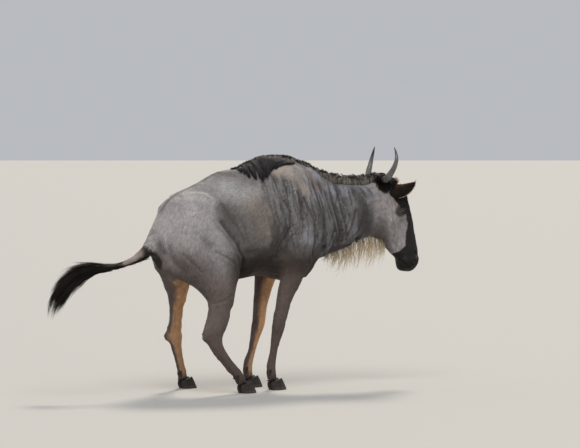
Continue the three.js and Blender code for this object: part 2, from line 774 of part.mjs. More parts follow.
// The beard hangs from the throat: [x, y, throat, tips].
const BEARD = [
  [560, -8, 720, 636],
  [612, -14, 765, 588],
  [680, -23, 800, 568],
  [750, -34, 815, 576],
  [820, -43, 822, 586],
  [880, -50, 800, 592],
  [926, -56, 765, 618],
];

// The fringe falls to the right from the ridge of the withers: [x, z] of its outline as seen from the side.
const FRINGE_RIDGE = 1300;
const FRINGE_EDGE = [
  [-30, 1160],
  [-4, 1130],
  [16, 1100],
  [39, 1092],
  [72, 1078],
  [100, 1078],
  [122, 1110],
  [152, 1136],
  [200, 1156],
  [249, 1174],
  [330, 1184],
  [392, 1186],
];
const FRINGE_DEPTH = 18;
const fringeDepth = (x) => {
  const { smoothstep } = THREE.MathUtils;
  return FRINGE_DEPTH * smoothstep(x, -120, 60) * (1 - 0.35 * smoothstep(x, 330, 400));
};

// The brush of the tail: [x, z, half thickness, half height] along its droop.
const BRUSH = [
  [-700, 664, 15, 13],
  [-775, 652, 24, 26],
  [-850, 648, 32, 48],
  [-936, 626, 38, 70],
  [-1018, 576, 38, 78],
  [-1070, 506, 32, 64],
  [-1098, 444, 22, 40],
  [-1112, 390, 5, 9],
];
const BRUSH_SIDE = 20;

function buildHair() {
  const crest = curtain(CREST.map(([x, y, z]) => [x, y, z, z - CREST_ROOT, 6, 13]));
  const clear = (solid, parts) => parts.reduce((s, part) => s.subtract(flesh(part, HAIR_GAP)), solid);
  add("mane_neck", clear(crest, ["neck", "trunk"]).simplify(TRIM_ERROR), BLACK_HAIR);
  const beard = curtain(BEARD.map(([x, y, high, low]) => [x, y, high, low, 13, 4]));
  add("beard", clear(beard, ["neck", "head"]).simplify(TRIM_ERROR), PALE_BEARD);
  const ridge = [FRINGE_EDGE.at(-1), FRINGE_EDGE[0]].map(([x]) => [x, FRINGE_RIDGE]);
  const outline = [...ridge, ...FRINGE_EDGE].map(([x, z]) => new THREE.Vector2(x, z));
  const block = new THREE.ExtrudeGeometry(new THREE.Shape(outline), { depth: 300, bevelEnabled: false });
  const haired = skinned((p) => body(p) - fringeDepth(p.x), ...GRIDS.trunk).simplify(FACET_ERROR);
  const fringe = haired.intersect(solidOf(block.rotateX(Math.PI / 2).translate(0, 22, 0)));
  const skinClear = flesh("trunk", HAIR_GAP).add(flesh("trunk").translate(0, -GAP, GAP));
  add("mane_withers", fringe.subtract(skinClear).simplify(TRIM_ERROR), BLACK_HAIR);
  const route = new THREE.CatmullRomCurve3(BRUSH.map(([x, z]) => V(x, BRUSH_SIDE, z)));
  const rings = BRUSH.map(([x, z, wide, high], i) => {
    const along = route.getTangent(i / (BRUSH.length - 1));
    const up = V(0, 0, 0).crossVectors(along, V(0, 1, 0));
    return Array.from({ length: 10 }, (_, k) => {
      const angle = (k / 10) * 2 * Math.PI;
      return V(x, BRUSH_SIDE + Math.cos(angle) * wide, z).addScaledVector(up, Math.sin(angle) * high);
    });
  });
  add("tail_brush", clear(loft(rings), ["tail_dock"]).simplify(TRIM_ERROR), BLACK_HAIR);
}

buildBody();
for (const [sideName, side] of [["right", RIGHT], ["left", LEFT]])
  for (const kind of ["fore", "hind"]) buildLeg(kind, sideName, side);
buildHead();
buildHair();

// The frame's origin is the middle of the part's box, on the ground.
const reach = new THREE.Box3().setFromObject(animal);
const middle = reach.getCenter(V(0, 0, 0));
for (const mesh of animal.children) mesh.geometry.translate(-middle.x, -middle.y, -reach.min.z);

export default animal;
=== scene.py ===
"""A white-bearded wildebeest as a life-size still model: skin, coat, hair, eyes, horns and hooves.

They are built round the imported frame. Lengths are millimetres in the animal's working axes until place()
turns them into the frame's metres: +X to the head, +Y to the animal's left, +Z up, with the origin on the
ground under the middle of the back.
"""
import math

import bmesh
import bpy
import numpy as np
from mathutils import Matrix, Vector
from mathutils.bvhtree import BVHTree


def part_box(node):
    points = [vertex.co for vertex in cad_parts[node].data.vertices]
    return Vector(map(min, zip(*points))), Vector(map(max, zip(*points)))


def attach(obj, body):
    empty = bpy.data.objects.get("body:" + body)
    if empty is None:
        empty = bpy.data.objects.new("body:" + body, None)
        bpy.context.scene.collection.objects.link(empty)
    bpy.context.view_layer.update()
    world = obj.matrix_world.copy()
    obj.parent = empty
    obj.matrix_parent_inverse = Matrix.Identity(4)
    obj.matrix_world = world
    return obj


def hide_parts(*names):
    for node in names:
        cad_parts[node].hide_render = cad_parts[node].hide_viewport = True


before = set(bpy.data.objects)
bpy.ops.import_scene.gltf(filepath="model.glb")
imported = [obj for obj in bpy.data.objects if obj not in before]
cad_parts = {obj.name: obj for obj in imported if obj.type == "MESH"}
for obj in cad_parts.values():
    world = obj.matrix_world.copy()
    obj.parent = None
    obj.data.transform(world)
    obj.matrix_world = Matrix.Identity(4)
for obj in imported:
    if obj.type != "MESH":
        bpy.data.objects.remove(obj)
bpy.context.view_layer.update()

MM = 0.001
SEED = 7

# The head's own axes, as in the solids: origin at the poll, +X out of the forehead, -Z down the face
POLL = np.array([915.0, -48.0, 1096.0])
HEAD_TURN = math.radians(-13)
HEAD_TILT = math.radians(16)
HEAD_LENGTH = 512
EYE_RADIUS = 20
EYE_SEAT = (44, 62, -0.385 * HEAD_LENGTH)
RIGHT = -1
LEFT = 1
SIDES = {"right": RIGHT, "left": LEFT}

HEAD_AXES = np.array(Matrix.Rotation(HEAD_TURN, 3, "Z") @ Matrix.Rotation(-HEAD_TILT, 3, "Y"))


def from_head(points):
    """Places given in the head's own axes, in the animal's."""
    return np.asarray(points, float) @ HEAD_AXES.T + POLL


def to_head(points):
    return (np.asarray(points, float) - POLL) @ HEAD_AXES


def middle_of(node):
    low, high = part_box(node)
    return np.array((low + high) / 2) / MM


# The frame's origin is the middle of the part's box: the near eye tells where the working origin lies
ORIGIN = from_head([EYE_SEAT[0], RIGHT * EYE_SEAT[1], EYE_SEAT[2]]) - middle_of("eye_right")


def place(points):
    """Working millimetres as metres in the frame."""
    return (np.asarray(points, float) - ORIGIN) * MM


def unplace(points):
    return np.asarray(points, float) / MM + ORIGIN


# The photo's camera
PHOTO_SIZE = (580, 448)
FOCAL_PIXELS = 3827.0
HORIZON_ROW = 103.0
ORIGIN_COLUMN = 235.0
CAMERA_YAW = math.radians(35)
CAMERA_DISTANCE = 20000.0
CAMERA_HEIGHT = 1500.0
SENSOR_MM = 36.0

VIEW_RIGHT = np.array([math.cos(CAMERA_YAW), -math.sin(CAMERA_YAW), 0.0])
VIEW_AHEAD = np.array([math.sin(CAMERA_YAW), math.cos(CAMERA_YAW), 0.0])
CAMERA_PITCH = math.atan((PHOTO_SIZE[1] / 2 - HORIZON_ROW) / FOCAL_PIXELS)
LOOK = VIEW_AHEAD * math.cos(CAMERA_PITCH) - np.array([0, 0, math.sin(CAMERA_PITCH)])
LOOK_UP = np.cross(VIEW_RIGHT, LOOK)
SIDESTEP = (PHOTO_SIZE[0] / 2 - ORIGIN_COLUMN) * CAMERA_DISTANCE / FOCAL_PIXELS
CAMERA_AT = -CAMERA_DISTANCE * VIEW_AHEAD + SIDESTEP * VIEW_RIGHT + np.array([0, 0, CAMERA_HEIGHT])


def sight(pixel):
    """The direction in which the camera sees a pixel of the photo."""
    across = (pixel[0] - PHOTO_SIZE[0] / 2) / FOCAL_PIXELS
    down = (pixel[1] - PHOTO_SIZE[1] / 2) / FOCAL_PIXELS
    return LOOK + across * VIEW_RIGHT - down * LOOK_UP


def make_camera():
    data = bpy.data.cameras.new("camera")
    data.lens = FOCAL_PIXELS / PHOTO_SIZE[0] * SENSOR_MM
    data.sensor_width = SENSOR_MM
    data.clip_end = 100
    camera = bpy.data.objects.new("camera", data)
    camera.location = place(CAMERA_AT)
    turn = np.column_stack([VIEW_RIGHT, LOOK_UP, -LOOK])
    camera.rotation_euler = Matrix(turn.tolist()).to_euler()
    bpy.context.scene.collection.objects.link(camera)
    bpy.context.scene.camera = camera


def make_sun(name, toward, strength, spread, colour):
    """A soft light so far off that floor and animal get it evenly; toward points at where it comes from."""
    data = bpy.data.lights.new(name, "SUN")
    data.energy = strength
    data.angle = math.radians(spread)
    data.color = colour
    light = bpy.data.objects.new(name, data)
    light.location = toward
    light.rotation_euler = (-Vector(toward)).to_track_quat("-Z", "Y").to_euler()
    bpy.context.scene.collection.objects.link(light)


def make_studio():
    """A pale floor that runs far back, a pale surround and soft lights."""
    bpy.ops.mesh.primitive_plane_add(size=400)
    floor = bpy.context.object
    floor.name = "floor"
    floor.data.materials.append(plain_material("floor_paint", (0.42, 0.41, 0.39), 0.8))
    world = bpy.data.worlds.new("surround")
    world.use_nodes = True
    world.node_tree.nodes["Background"].inputs["Color"].default_value = (0.92, 0.95, 1.0, 1)
    world.node_tree.nodes["Background"].inputs["Strength"].default_value = 0.52
    bpy.context.scene.world = world
    make_sun("key", (-2.2, -3.4, 5.2), 1.9, 40, (1, 0.98, 0.95))
    make_sun("rim", (3.4, 3.6, 4.6), 1.9, 12, (1, 0.9, 0.76))
    bpy.context.scene.view_settings.view_transform = "Standard"


def plain_material(name, colour, roughness):
    material = bpy.data.materials.new(name)
    material.use_nodes = True
    shader = material.node_tree.nodes["Principled BSDF"]
    shader.inputs["Base Color"].default_value = (*colour, 1)
    shader.inputs["Roughness"].default_value = roughness
    return material


# Meshes as arrays
FLESH = ["trunk", "neck", "head", "tail_dock"] + [
    f"{kind}leg_{side}_{part}"
    for kind in ("fore", "hind")
    for side in SIDES
    for part in ("upper", "cannon", "pastern")
]
VOXEL = 8


def mesh_arrays(mesh):
    """Vertices in working millimetres and faces as rows of four, a triangle's last corner repeated."""
    verts = np.empty(len(mesh.vertices) * 3)
    mesh.vertices.foreach_get("co", verts)
    loops = np.empty(len(mesh.loops), int)
    mesh.loops.foreach_get("vertex_index", loops)
    starts = np.empty(len(mesh.polygons), int)
    mesh.polygons.foreach_get("loop_start", starts)
    totals = np.empty(len(mesh.polygons), int)
    mesh.polygons.foreach_get("loop_total", totals)
    last = np.where(totals == 4, 3, 2)
    faces = np.stack([loops[starts], loops[starts + 1], loops[starts + 2], loops[starts + last]], -1)
    return unplace(verts.reshape(-1, 3)), faces


def make_object(name, verts, faces, smooth=True):
    """An object from working millimetres and a list or array of faces."""
    mesh = bpy.data.meshes.new(name)
    verts = place(verts)
    faces = np.asarray(faces)
    corners = np.where(faces[:, 3] == faces[:, 2], 3, 4)
    loops = faces[np.arange(4) < corners[:, None]]
    mesh.vertices.add(len(verts))
    mesh.vertices.foreach_set("co", verts.ravel())
    mesh.loops.add(len(loops))
    mesh.loops.foreach_set("vertex_index", loops.astype(np.int32))
    mesh.polygons.add(len(faces))
    mesh.polygons.foreach_set("loop_start", (np.cumsum(corners) - corners).astype(np.int32))
    mesh.update(calc_edges=True)
    mesh.validate()
    mesh.polygons.foreach_set("use_smooth", np.full(len(mesh.polygons), smooth))
    obj = bpy.data.objects.new(name, mesh)
    bpy.context.scene.collection.objects.link(obj)
    return obj


def remeshed(nodes, voxel):
    """The union of some CAD nodes as one closed mesh of even quads."""
    parts = bmesh.new()
    for node in nodes:
        parts.from_mesh(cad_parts[node].data)
    mesh = bpy.data.meshes.new("union")
    parts.to_mesh(mesh)
    parts.free()
    obj = bpy.data.objects.new("union", mesh)
    bpy.context.scene.collection.objects.link(obj)
    modifier = obj.modifiers.new("remesh", "REMESH")
    modifier.mode = "VOXEL"
    modifier.voxel_size = voxel * MM
    made = obj.evaluated_get(bpy.context.evaluated_depsgraph_get()).to_mesh()
    arrays = mesh_arrays(made)
    bpy.data.objects.remove(obj)
    return arrays


class Skin:
    """A mesh held as arrays, with the few operations that shape it."""

    def __init__(self, verts, faces):
        self.verts = verts
        self.faces = faces
        self.link()

    def link(self):
        pairs = np.concatenate(
            [self.faces[:, [0, 1]], self.faces[:, [1, 2]], self.faces[:, [2, 3]], self.faces[:, [3, 0]]]
        )
        pairs = np.unique(np.sort(pairs[pairs[:, 0] != pairs[:, 1]], axis=1), axis=0)
        self.start = np.concatenate([pairs[:, 0], pairs[:, 1]])
        self.end = np.concatenate([pairs[:, 1], pairs[:, 0]])
        self.valence = np.bincount(self.start, minlength=len(self.verts)).astype(float)

    def average(self, values):
        """For each vertex the mean of its neighbours."""
        sums = [np.bincount(self.start, values[self.end, k], len(values)) for k in range(values.shape[1])]
        return np.stack(sums, -1) / self.valence[:, None]

    def smooth(self, rounds, weight=1.0, keep_size=True):
        """Smoothing; with keep_size each inward round is followed by an outward one."""
        weight = np.broadcast_to(np.asarray(weight, float), len(self.verts))[:, None]
        for _ in range(rounds):
            self.verts = self.verts + 0.5 * weight * (self.average(self.verts) - self.verts)
            if keep_size:
                self.verts = self.verts - 0.53 * weight * (self.average(self.verts) - self.verts)

    def normals(self):
        a, b, c, d = (self.verts[self.faces[:, k]] for k in range(4))
        across = np.cross(c - a, d - b)
        total = np.zeros_like(self.verts)
        for k in range(4):
            for axis in range(3):
                total[:, axis] += np.bincount(self.faces[:, k], across[:, axis], len(self.verts))
        return total / np.maximum(np.linalg.norm(total, axis=1, keepdims=True), 1e-9)

    def refine(self, chosen):
        """Splits each quad whose four corners are chosen into four, and the quads beside them to fit."""
        mesh = bmesh.new()
        rows = [mesh.verts.new(v) for v in self.verts]
        for face in self.faces:
            corners = [rows[i] for i in dict.fromkeys(face)]
            mesh.faces.new(corners)
        mesh.verts.index_update()
        edges = [e for e in mesh.edges if chosen[e.verts[0].index] and chosen[e.verts[1].index]]
        bmesh.ops.subdivide_edges(mesh, edges=edges, cuts=1, use_grid_fill=True)
        many = [f for f in mesh.faces if len(f.verts) > 4]
        bmesh.ops.triangulate(mesh, faces=many)
        mesh.verts.index_update()
        self.verts = np.array([v.co for v in mesh.verts])
        rows = [[v.index for v in f.verts] for f in mesh.faces]
        self.faces = np.array([r if len(r) == 4 else r + r[-1:] for r in rows])
        mesh.free()
        self.link()


# Places on the skin
class Ground:
    """The skin as the camera and the coat meet it."""

    def __init__(self, skin):
        quads = skin.faces
        rows = [tuple(q) if q[3] != q[2] else tuple(q[:3]) for q in quads.tolist()]
        self.tree = BVHTree.FromPolygons(skin.verts.tolist(), rows)

    def seen_at(self, pixel):
        """The place on the skin that the photo shows at a pixel, or none where the pixel misses it."""
        return self.tree.ray_cast(Vector(CAMERA_AT), Vector(sight(pixel)).normalized())[0]

    def nearest(self, point):
        return np.array(self.tree.find_nearest(Vector(point))[0])

    def line(self, pixels, side=RIGHT, head=False):
        """A line drawn on the photo, on the near side of the skin or mirrored to the far side."""
        points = np.array([p for p in map(self.seen_at, pixels) if p is not None])
        if side == RIGHT:
            return points
        if head:
            return np.array([self.nearest(p) for p in from_head(to_head(points) * [1, -1, 1])])
        return np.array([self.nearest(p) for p in points * [1, -1, 1]])


def distance_to(points, line):
    """Distance of each point to a line of points."""
    best = np.full(len(points), 1e9)
    for a, b in zip(line[:-1], line[1:]):
        along = b - a
        share = np.clip((points - a) @ along / max(along @ along, 1e-9), 0, 1)
        best = np.minimum(best, np.linalg.norm(points - a - share[:, None] * along, axis=1))
    return best


def smoothstep(x, low, high):
    t = np.clip((np.asarray(x, float) - low) / (high - low), 0, 1)
    return t * t * (3 - 2 * t)


def bell(x, centre, half):
    """1 at the centre, falling smoothly to 0 at half a width away."""
    t = np.clip(np.abs(np.asarray(x, float) - centre) / half, 0, 1)
    return (1 - t * t) ** 2


LATTICE = 32


def noise(points, size, seed=0):
    """Smooth noise from 0 to 1 whose features are about as large as size says, in millimetres."""
    grid = np.random.default_rng(SEED + seed).random((LATTICE, LATTICE, LATTICE))
    p = np.asarray(points, float) / size
    low = np.floor(p).astype(int)
    f = p - low
    f = f * f * (3 - 2 * f)
    total = np.zeros(len(p))
    for corner in range(8):
        bits = np.array([corner >> k & 1 for k in range(3)])
        share = np.prod(np.where(bits, f, 1 - f), axis=1)
        i, j, k = ((low + bits) % LATTICE).T
        total += share * grid[i, j, k]
    return total


# Folds and muscles of the near side, as lines on the photo: (pixels, radius, depth), a fold with raised lips
SHOULDER_FOLDS = [
    ([(285, 201), (290, 212), (290.5, 225), (286, 235), (279.5, 244), (276, 257)], 13, 9),
    ([(281, 206), (286, 216), (286.5, 226), (281, 236), (275, 246)], 8, 4),
    ([(276, 214), (280, 224), (278, 234), (271, 246)], 8, 3.5),
    ([(297, 192), (301, 204), (303, 218), (303, 232)], 8, 3),
    ([(304, 198), (310, 210), (314.5, 221), (315, 240), (312, 257)], 9, 6),
    ([(313, 186), (320, 198), (323.5, 210), (324, 226), (322.5, 240)], 10, 6.5),
    ([(325, 192), (328.8, 207), (333.6, 221), (334.6, 230), (329, 245)], 9, 6),
]
# Thin creases between the folds, shallow, with painted shade along them
CREASES = [
    ([(305, 171), (309, 182), (312, 196)], 6, 2.5),
    ([(293, 178), (298, 195), (301, 212), (300, 228)], 6, 2.5),
    ([(268, 172), (277, 188), (283, 202)], 6, 2.5),
    ([(262, 187), (270, 205), (275, 222), (273, 238)], 6, 2.5),
    ([(255, 196), (262, 212), (266, 228), (264, 244)], 6, 2),
    ([(222, 203), (232, 218), (242, 235), (245, 243)], 8, 2.5),
    ([(230, 195), (238, 212), (245, 228), (247, 238)], 7, 2),
    ([(319, 179), (324, 193), (326, 211), (325, 222)], 6, 2.5),
    ([(329, 180), (332, 194), (334, 209)], 6, 3),
    ([(336, 184), (337.5, 192)], 5, 2.5),
    ([(343, 186), (344, 198), (343, 212), (341, 226)], 6, 2.5),
    ([(352, 190), (352, 201)], 5, 2),
    ([(307, 214), (309, 228), (308, 244), (303, 256)], 6, 2.5),
    ([(318, 214), (319.5, 228), (318.5, 244), (313, 256)], 6, 2.5),
    ([(329, 216), (329.5, 230), (325, 247)], 6, 2.5),
    ([(346, 214), (345, 226), (341, 238)], 5, 2.5),
]
# Grooves between bone and tendon on the near legs
LEG_FOLDS = [
    ([(211, 312), (208.5, 322), (206, 332)], 7, 3.5),
    ([(214, 348), (222, 360), (231, 372)], 5, 2.5),
    ([(276, 346), (273, 360), (271, 372)], 5, 2.5),
    ([(283, 316), (281, 328)], 6, 2),
]
NECK_FOLDS = [
    ([(337, 196), (335, 208), (336.5, 220), (340, 232), (336, 243)], 8, 4),
    ([(350, 214), (347, 228), (341.5, 241)], 8, 4.5),
    ([(356, 209), (353.5, 220), (350.5, 230), (346, 239)], 8, 5),
    ([(364, 212), (361.5, 222), (358, 231), (353.5, 237)], 7, 3.5),
]
FLANK_FOLD = ([(221, 222), (229, 233), (236.5, 243), (240.5, 253), (242, 261), (240.5, 272)], 12, 9)
THIGH_FOLDS = [
    ([(183.8, 254), (195, 264.5), (202, 271)], 9, 3.5),
    ([(216, 251), (226, 256), (234, 262)], 9, 3),
    ([(212.5, 303.8), (219, 302.5), (226, 300), (232, 295)], 7, 3),
    ([(170, 246), (176, 262), (186, 272)], 16, 2.5),
]
ALL_FOLDS = SHOULDER_FOLDS + CREASES + NECK_FOLDS + [FLANK_FOLD] + THIGH_FOLDS
# Broad forms: (pixels, radius, rise)
FORMS = [
    ([(184, 196.5), (194, 194.5), (202.5, 195), (210, 199.5), (216, 206)], 17, 8),
    ([(222, 208), (229, 216), (236, 228)], 34, -11),
    ([(290, 190), (287, 180), (285, 170)], 22, 4),
    ([(297, 244), (291, 236), (296, 222)], 26, 5),
]


def lay_line(skin, line, radius, depth, lips):
    """Presses a groove of that depth along a line, or raises a ridge where depth is below 0."""
    low = line.min(0) - 4 * radius
    high = line.max(0) + 4 * radius
    near = np.flatnonzero(((skin.verts > low) & (skin.verts < high)).all(1))
    away = distance_to(skin.verts[near], line) / radius
    groove = np.exp(-(away**2)) - lips * np.exp(-((away - 2) ** 2))
    skin.verts[near] -= skin.normals()[near] * (depth * groove)[:, None]


def shape_body(skin):
    """Presses the folds and the stripes into the skin and raises the broad forms."""
    skin.verts -= skin.normals() * (2.2 * brindle(skin.verts))[:, None]
    ground = Ground(skin)
    for side in (RIGHT, LEFT):
        for pixels, radius, rise in FORMS:
            lay_line(skin, ground.line(pixels, side), radius, -rise, 0)
        for pixels, radius, depth in ALL_FOLDS:
            lay_line(skin, ground.line(pixels, side), radius, 0.8 * depth, 0.3)
    for pixels, radius, depth in LEG_FOLDS:
        lay_line(skin, ground.line(pixels), radius, depth, 0.3)


# Each muzzle line: (pixels, radius, depth)
MUZZLE_LINES = [
    ([(414.5, 268.5), (409, 267), (404, 263.5), (399.5, 259.5)], 5, 5),
    ([(415.2, 252.5), (417, 257), (414.8, 261.5)], 6.5, 9),
    ([(394, 251), (399, 249), (405, 250)], 12, 3),
    ([(396, 214), (399, 224), (400, 236), (398, 246)], 16, 4),
    ([(391, 222), (388, 234), (386, 244)], 20, -3),
]
JAW_FOLDS = [
    ([(371, 222), (367, 229), (364, 236)], 6, 2.5),
    ([(377, 224), (374, 231), (371, 237)], 6, 2.5),
    ([(383, 227), (380, 233), (378, 240)], 6, 2),
]

# The eye's opening in the head's axes: outward, along the slit towards the muzzle, and across it
EYE_OUT = np.array([0.3, 0.95, 0.03])
SLIT = np.array([0.42, 0.0, -0.91])
SLIT_HALF = 16.5
LID_HALF = 7.0
LID_RISE = 1.9


def slit(a, b):
    """How far a place is from the middle of the eye's opening, 1 at its rim: a along it, b across it."""
    reach = np.clip(1 - (a / SLIT_HALF) ** 2, 0, 1)
    return np.abs(b - 0.8) / (LID_HALF * reach**0.75 + 0.5)


def eye_axes(side):
    """Centre and axes of one eye, in working millimetres: outwards, along the slit, and across it upwards."""
    mirror = np.array([1, side, 1])
    out = EYE_OUT * mirror / np.linalg.norm(EYE_OUT)
    along = SLIT - (SLIT @ out) * out
    along /= np.linalg.norm(along)
    across = np.cross(out, along) * side
    axes = np.stack([out, along, across]) @ HEAD_AXES.T
    return from_head(np.array(EYE_SEAT) * mirror), axes


def shape_lids(skin, side):
    """Draws the skin over the eyeball as two lids round an almond opening."""
    centre, (out, along, across) = eye_axes(side)
    near = np.flatnonzero(np.linalg.norm(skin.verts - centre, axis=1) < 62)
    rel = skin.verts[near] - centre
    height, a, b = rel @ out, rel @ along, rel @ across
    away = np.hypot(a, b)
    ball = np.sqrt(np.maximum(EYE_RADIUS**2 - away**2, 0))
    open_at = 1 - smoothstep(slit(a, b), 0.8, 1.15)
    slope = 9 - 0.42 * np.maximum(away - EYE_RADIUS * 0.7, 0)
    lid = np.maximum(ball + LID_RISE, slope) + 0.9 * bell(slit(a, b), 1.3, 0.5) * (away < SLIT_HALF + 6)
    goal = lid * (1 - open_at) + (ball - 7) * open_at
    blend = 1 - smoothstep(away, EYE_RADIUS * 0.95, EYE_RADIUS * 2.0)
    moved = height + (goal - height) * blend
    moved -= 2.2 * bell(b, 13.5, 4) * bell(a, -2, 24) + 1.3 * bell(b, -12, 4) * bell(a, 0, 20)
    moved += 3.4 * bell(b, 22, 14) * bell(a, -4, 36)
    moved -= 4.0 * bell(a, 31, 16) * bell(b, -4, 7)
    skin.verts[near] += np.where(height > -45, moved - height, 0)[:, None] * out


CHIN = (-34, 0, -0.955 * HEAD_LENGTH)
CHIN_WAY = (-0.62, 0, -0.78)


def shape_head(skin):
    """Squares the chin and presses in the lines of the muzzle and the jaw, then draws up the lids."""
    pull = bell(np.linalg.norm(skin.verts - from_head(CHIN), axis=1), 0, 52)
    skin.verts += pull[:, None] * 9 * (np.array(CHIN_WAY) @ HEAD_AXES.T)
    ground = Ground(skin)
    for side in (RIGHT, LEFT):
        for pixels, radius, depth in MUZZLE_LINES + JAW_FOLDS:
            lay_line(skin, ground.line(pixels, side, head=True), radius, depth, 0.3)
        shape_lids(skin, side)


def foot_centre(leg):
    """The ground under the middle of a foot's coronet, a little back from the middle of its claws."""
    claws = (middle_of(f"{leg}_hoof_inner") + middle_of(f"{leg}_hoof_outer")) / 2
    return claws * [1, 1, 0] - [FOOT_BACK, 0, 0]


LEGS = [f"{kind}leg_{side}" for kind in ("fore", "hind") for side in SIDES]
CORONET = 50
CORONET_BACK = 2
CORONET_HALF = (32, 29.5)
FOOT_BACK = 16.5


def shape_feet(skin):
    """Flares each pastern into the band over the claws and swells the fetlock behind for the dewclaws."""
    for leg in LEGS:
        centre = foot_centre(leg) - [CORONET_BACK, 0, 0]
        rel = skin.verts - centre
        near = np.flatnonzero((np.hypot(rel[:, 0], rel[:, 1]) < 75) & (skin.verts[:, 2] < 100))
        rel = rel[near, :2]
        reach = np.linalg.norm(rel / CORONET_HALF, axis=1)
        low = 1 - smoothstep(skin.verts[near, 2], CORONET + 6, CORONET + 40)
        grown = np.maximum(reach, reach + (1 - reach) * low * smoothstep(reach, 0.35, 0.7))
        skin.verts[near, :2] += rel * (grown / np.maximum(reach, 1e-6) - 1)[:, None]
        for place_name in ("inner", "outer"):
            claw = middle_of(f"{leg}_dewclaw_{place_name}") + [6, 0, 13]
            by = np.flatnonzero(np.linalg.norm(skin.verts - claw, axis=1) < 60)
            pull = bell(np.linalg.norm(skin.verts[by] - claw, axis=1), 0, 40)
            skin.verts[by] += (claw - skin.verts[by]) * (pull * 0.5)[:, None]


def inset(skin):
    """Draws the skin in by the depth of the coat that lies on it."""
    skin.verts -= skin.normals() * coat_depth(skin.verts)[:, None]


def coat_depth(points):
    """How far the skin lies under the tips of the coat."""
    return 0.27 * coat_length(points)


def coat_length(points):
    """Length of the coat's hairs, shortest on the face and the legs."""
    head = to_head(points)
    on_head = smoothstep(points[:, 0], 760, 930) * smoothstep(-head[:, 2], -90, 60)
    muzzle = smoothstep(-head[:, 2], 300, 450) * on_head
    leg = 1 - smoothstep(points[:, 2], 330, 700)
    length = (
        15 - 2.0 * smoothstep(points[:, 0], 350, 750) - 4.5 * on_head - 3.8 * muzzle - 7.0 * leg
        * (1 - on_head)
    )
    return length + 5 * (1 - smoothstep(points[:, 2], 62, 84))


def near_eyes(points, reach):
    return np.minimum(
        *[np.linalg.norm(points - eye_axes(side)[0], axis=1) for side in SIDES.values()]
    ) < reach


MUZZLE_FROM = 385


def make_skin_shape():
    skin = Skin(*remeshed(FLESH, VOXEL))
    leg = 1 - smoothstep(skin.verts[:, 2], 330, 560)
    skin.smooth(26, 1 - 0.2 * leg)
    skin.smooth(40, 1 - leg)
    skin.refine((skin.verts[:, 0] > 770) & (to_head(skin.verts)[:, 0] > -170))
    skin.smooth(8, smoothstep(skin.verts[:, 0], 760, 800))
    inset(skin)
    shape_feet(skin)
    shape_body(skin)
    head = to_head(skin.verts)
    skin.refine(near_eyes(skin.verts, 58) | ((-head[:, 2] > MUZZLE_FROM) & (skin.verts[:, 0] > 800)))
    skin.refine(near_eyes(skin.verts, 36))
    shape_head(skin)
    close = near_eyes(skin.verts, 60) | (-to_head(skin.verts)[:, 2] > MUZZLE_FROM)
    skin.smooth(2, 0.5 * close)
    return skin


# Curves and swept shapes
def route_through(points, count):
    """Points at even steps along a smooth curve through the given ones."""
    points = np.asarray(points, float)
    ends = np.vstack([2 * points[0] - points[1], points, 2 * points[-1] - points[-2]])
    fine = []
    for p0, p1, p2, p3 in zip(ends[:-3], ends[1:-2], ends[2:-1], ends[3:]):
        t0, t1, t2, t3 = np.cumsum(
            [0] + [max(np.linalg.norm(b - a), 1e-6) ** 0.5 for a, b in ((p0, p1), (p1, p2), (p2, p3))]
        )
        t = np.linspace(t1, t2, 24, endpoint=False)[:, None]
        a1 = (t1 - t) / (t1 - t0) * p0 + (t - t0) / (t1 - t0) * p1
        a2 = (t2 - t) / (t2 - t1) * p1 + (t - t1) / (t2 - t1) * p2
        a3 = (t3 - t) / (t3 - t2) * p2 + (t - t2) / (t3 - t2) * p3
        b1 = (t2 - t) / (t2 - t0) * a1 + (t - t0) / (t2 - t0) * a2
        b2 = (t3 - t) / (t3 - t1) * a2 + (t - t1) / (t3 - t1) * a3
        fine.append((t2 - t) / (t2 - t1) * b1 + (t - t1) / (t2 - t1) * b2)
    fine = np.vstack(fine + [points[-1:]])
    lengths = np.concatenate([[0], np.cumsum(np.linalg.norm(np.diff(fine, axis=0), axis=1))])
    wanted = np.linspace(0, lengths[-1], count)
    return np.stack([np.interp(wanted, lengths, fine[:, k]) for k in range(3)], -1)


def tube_faces(rings, sides):
    """Quads over rings of equal length, closed at both ends by a fan of flat triangles."""
    ring = np.arange(sides)
    ahead = (ring + 1) % sides
    band = np.stack([ring, ahead, sides + ahead, sides + ring], -1)
    rows = [band + r * sides for r in range(rings - 1)]
    first, last = rings * sides, rings * sides + 1
    low = np.stack([ahead, ring, np.full(sides, first), np.full(sides, first)], -1)
    top = (rings - 1) * sides
    high = np.stack([top + ring, top + ahead, np.full(sides, last), np.full(sides, last)], -1)
    return np.vstack(rows + [low, high])


def closed_tube(rings):
    """A closed mesh from an array of rings of points."""
    rings = np.asarray(rings, float)
    ends = np.stack([rings[0].mean(0), rings[-1].mean(0)])
    return np.vstack([rings.reshape(-1, 3), ends]), tube_faces(len(rings), rings.shape[1])


def joined(pieces):
    """One mesh from several (verts, faces)."""
    verts, faces, start = [], [], 0
    for v, f in pieces:
        verts.append(v)
        faces.append(f + start)
        start += len(v)
    return np.vstack(verts), np.vstack(faces)


# Ears
EAR_ROOT = (-26, 60, -74)
EAR_LIE = (0.91, 0.38, 0.1)
EAR_OPENING = (0.38, -0.86, 0.34)
EAR_BULGE = (-6, 12, -54)
EAR_LENGTH = 172
EAR_HALF = 39
EAR_RINGS = 44
EAR_ARC = 15


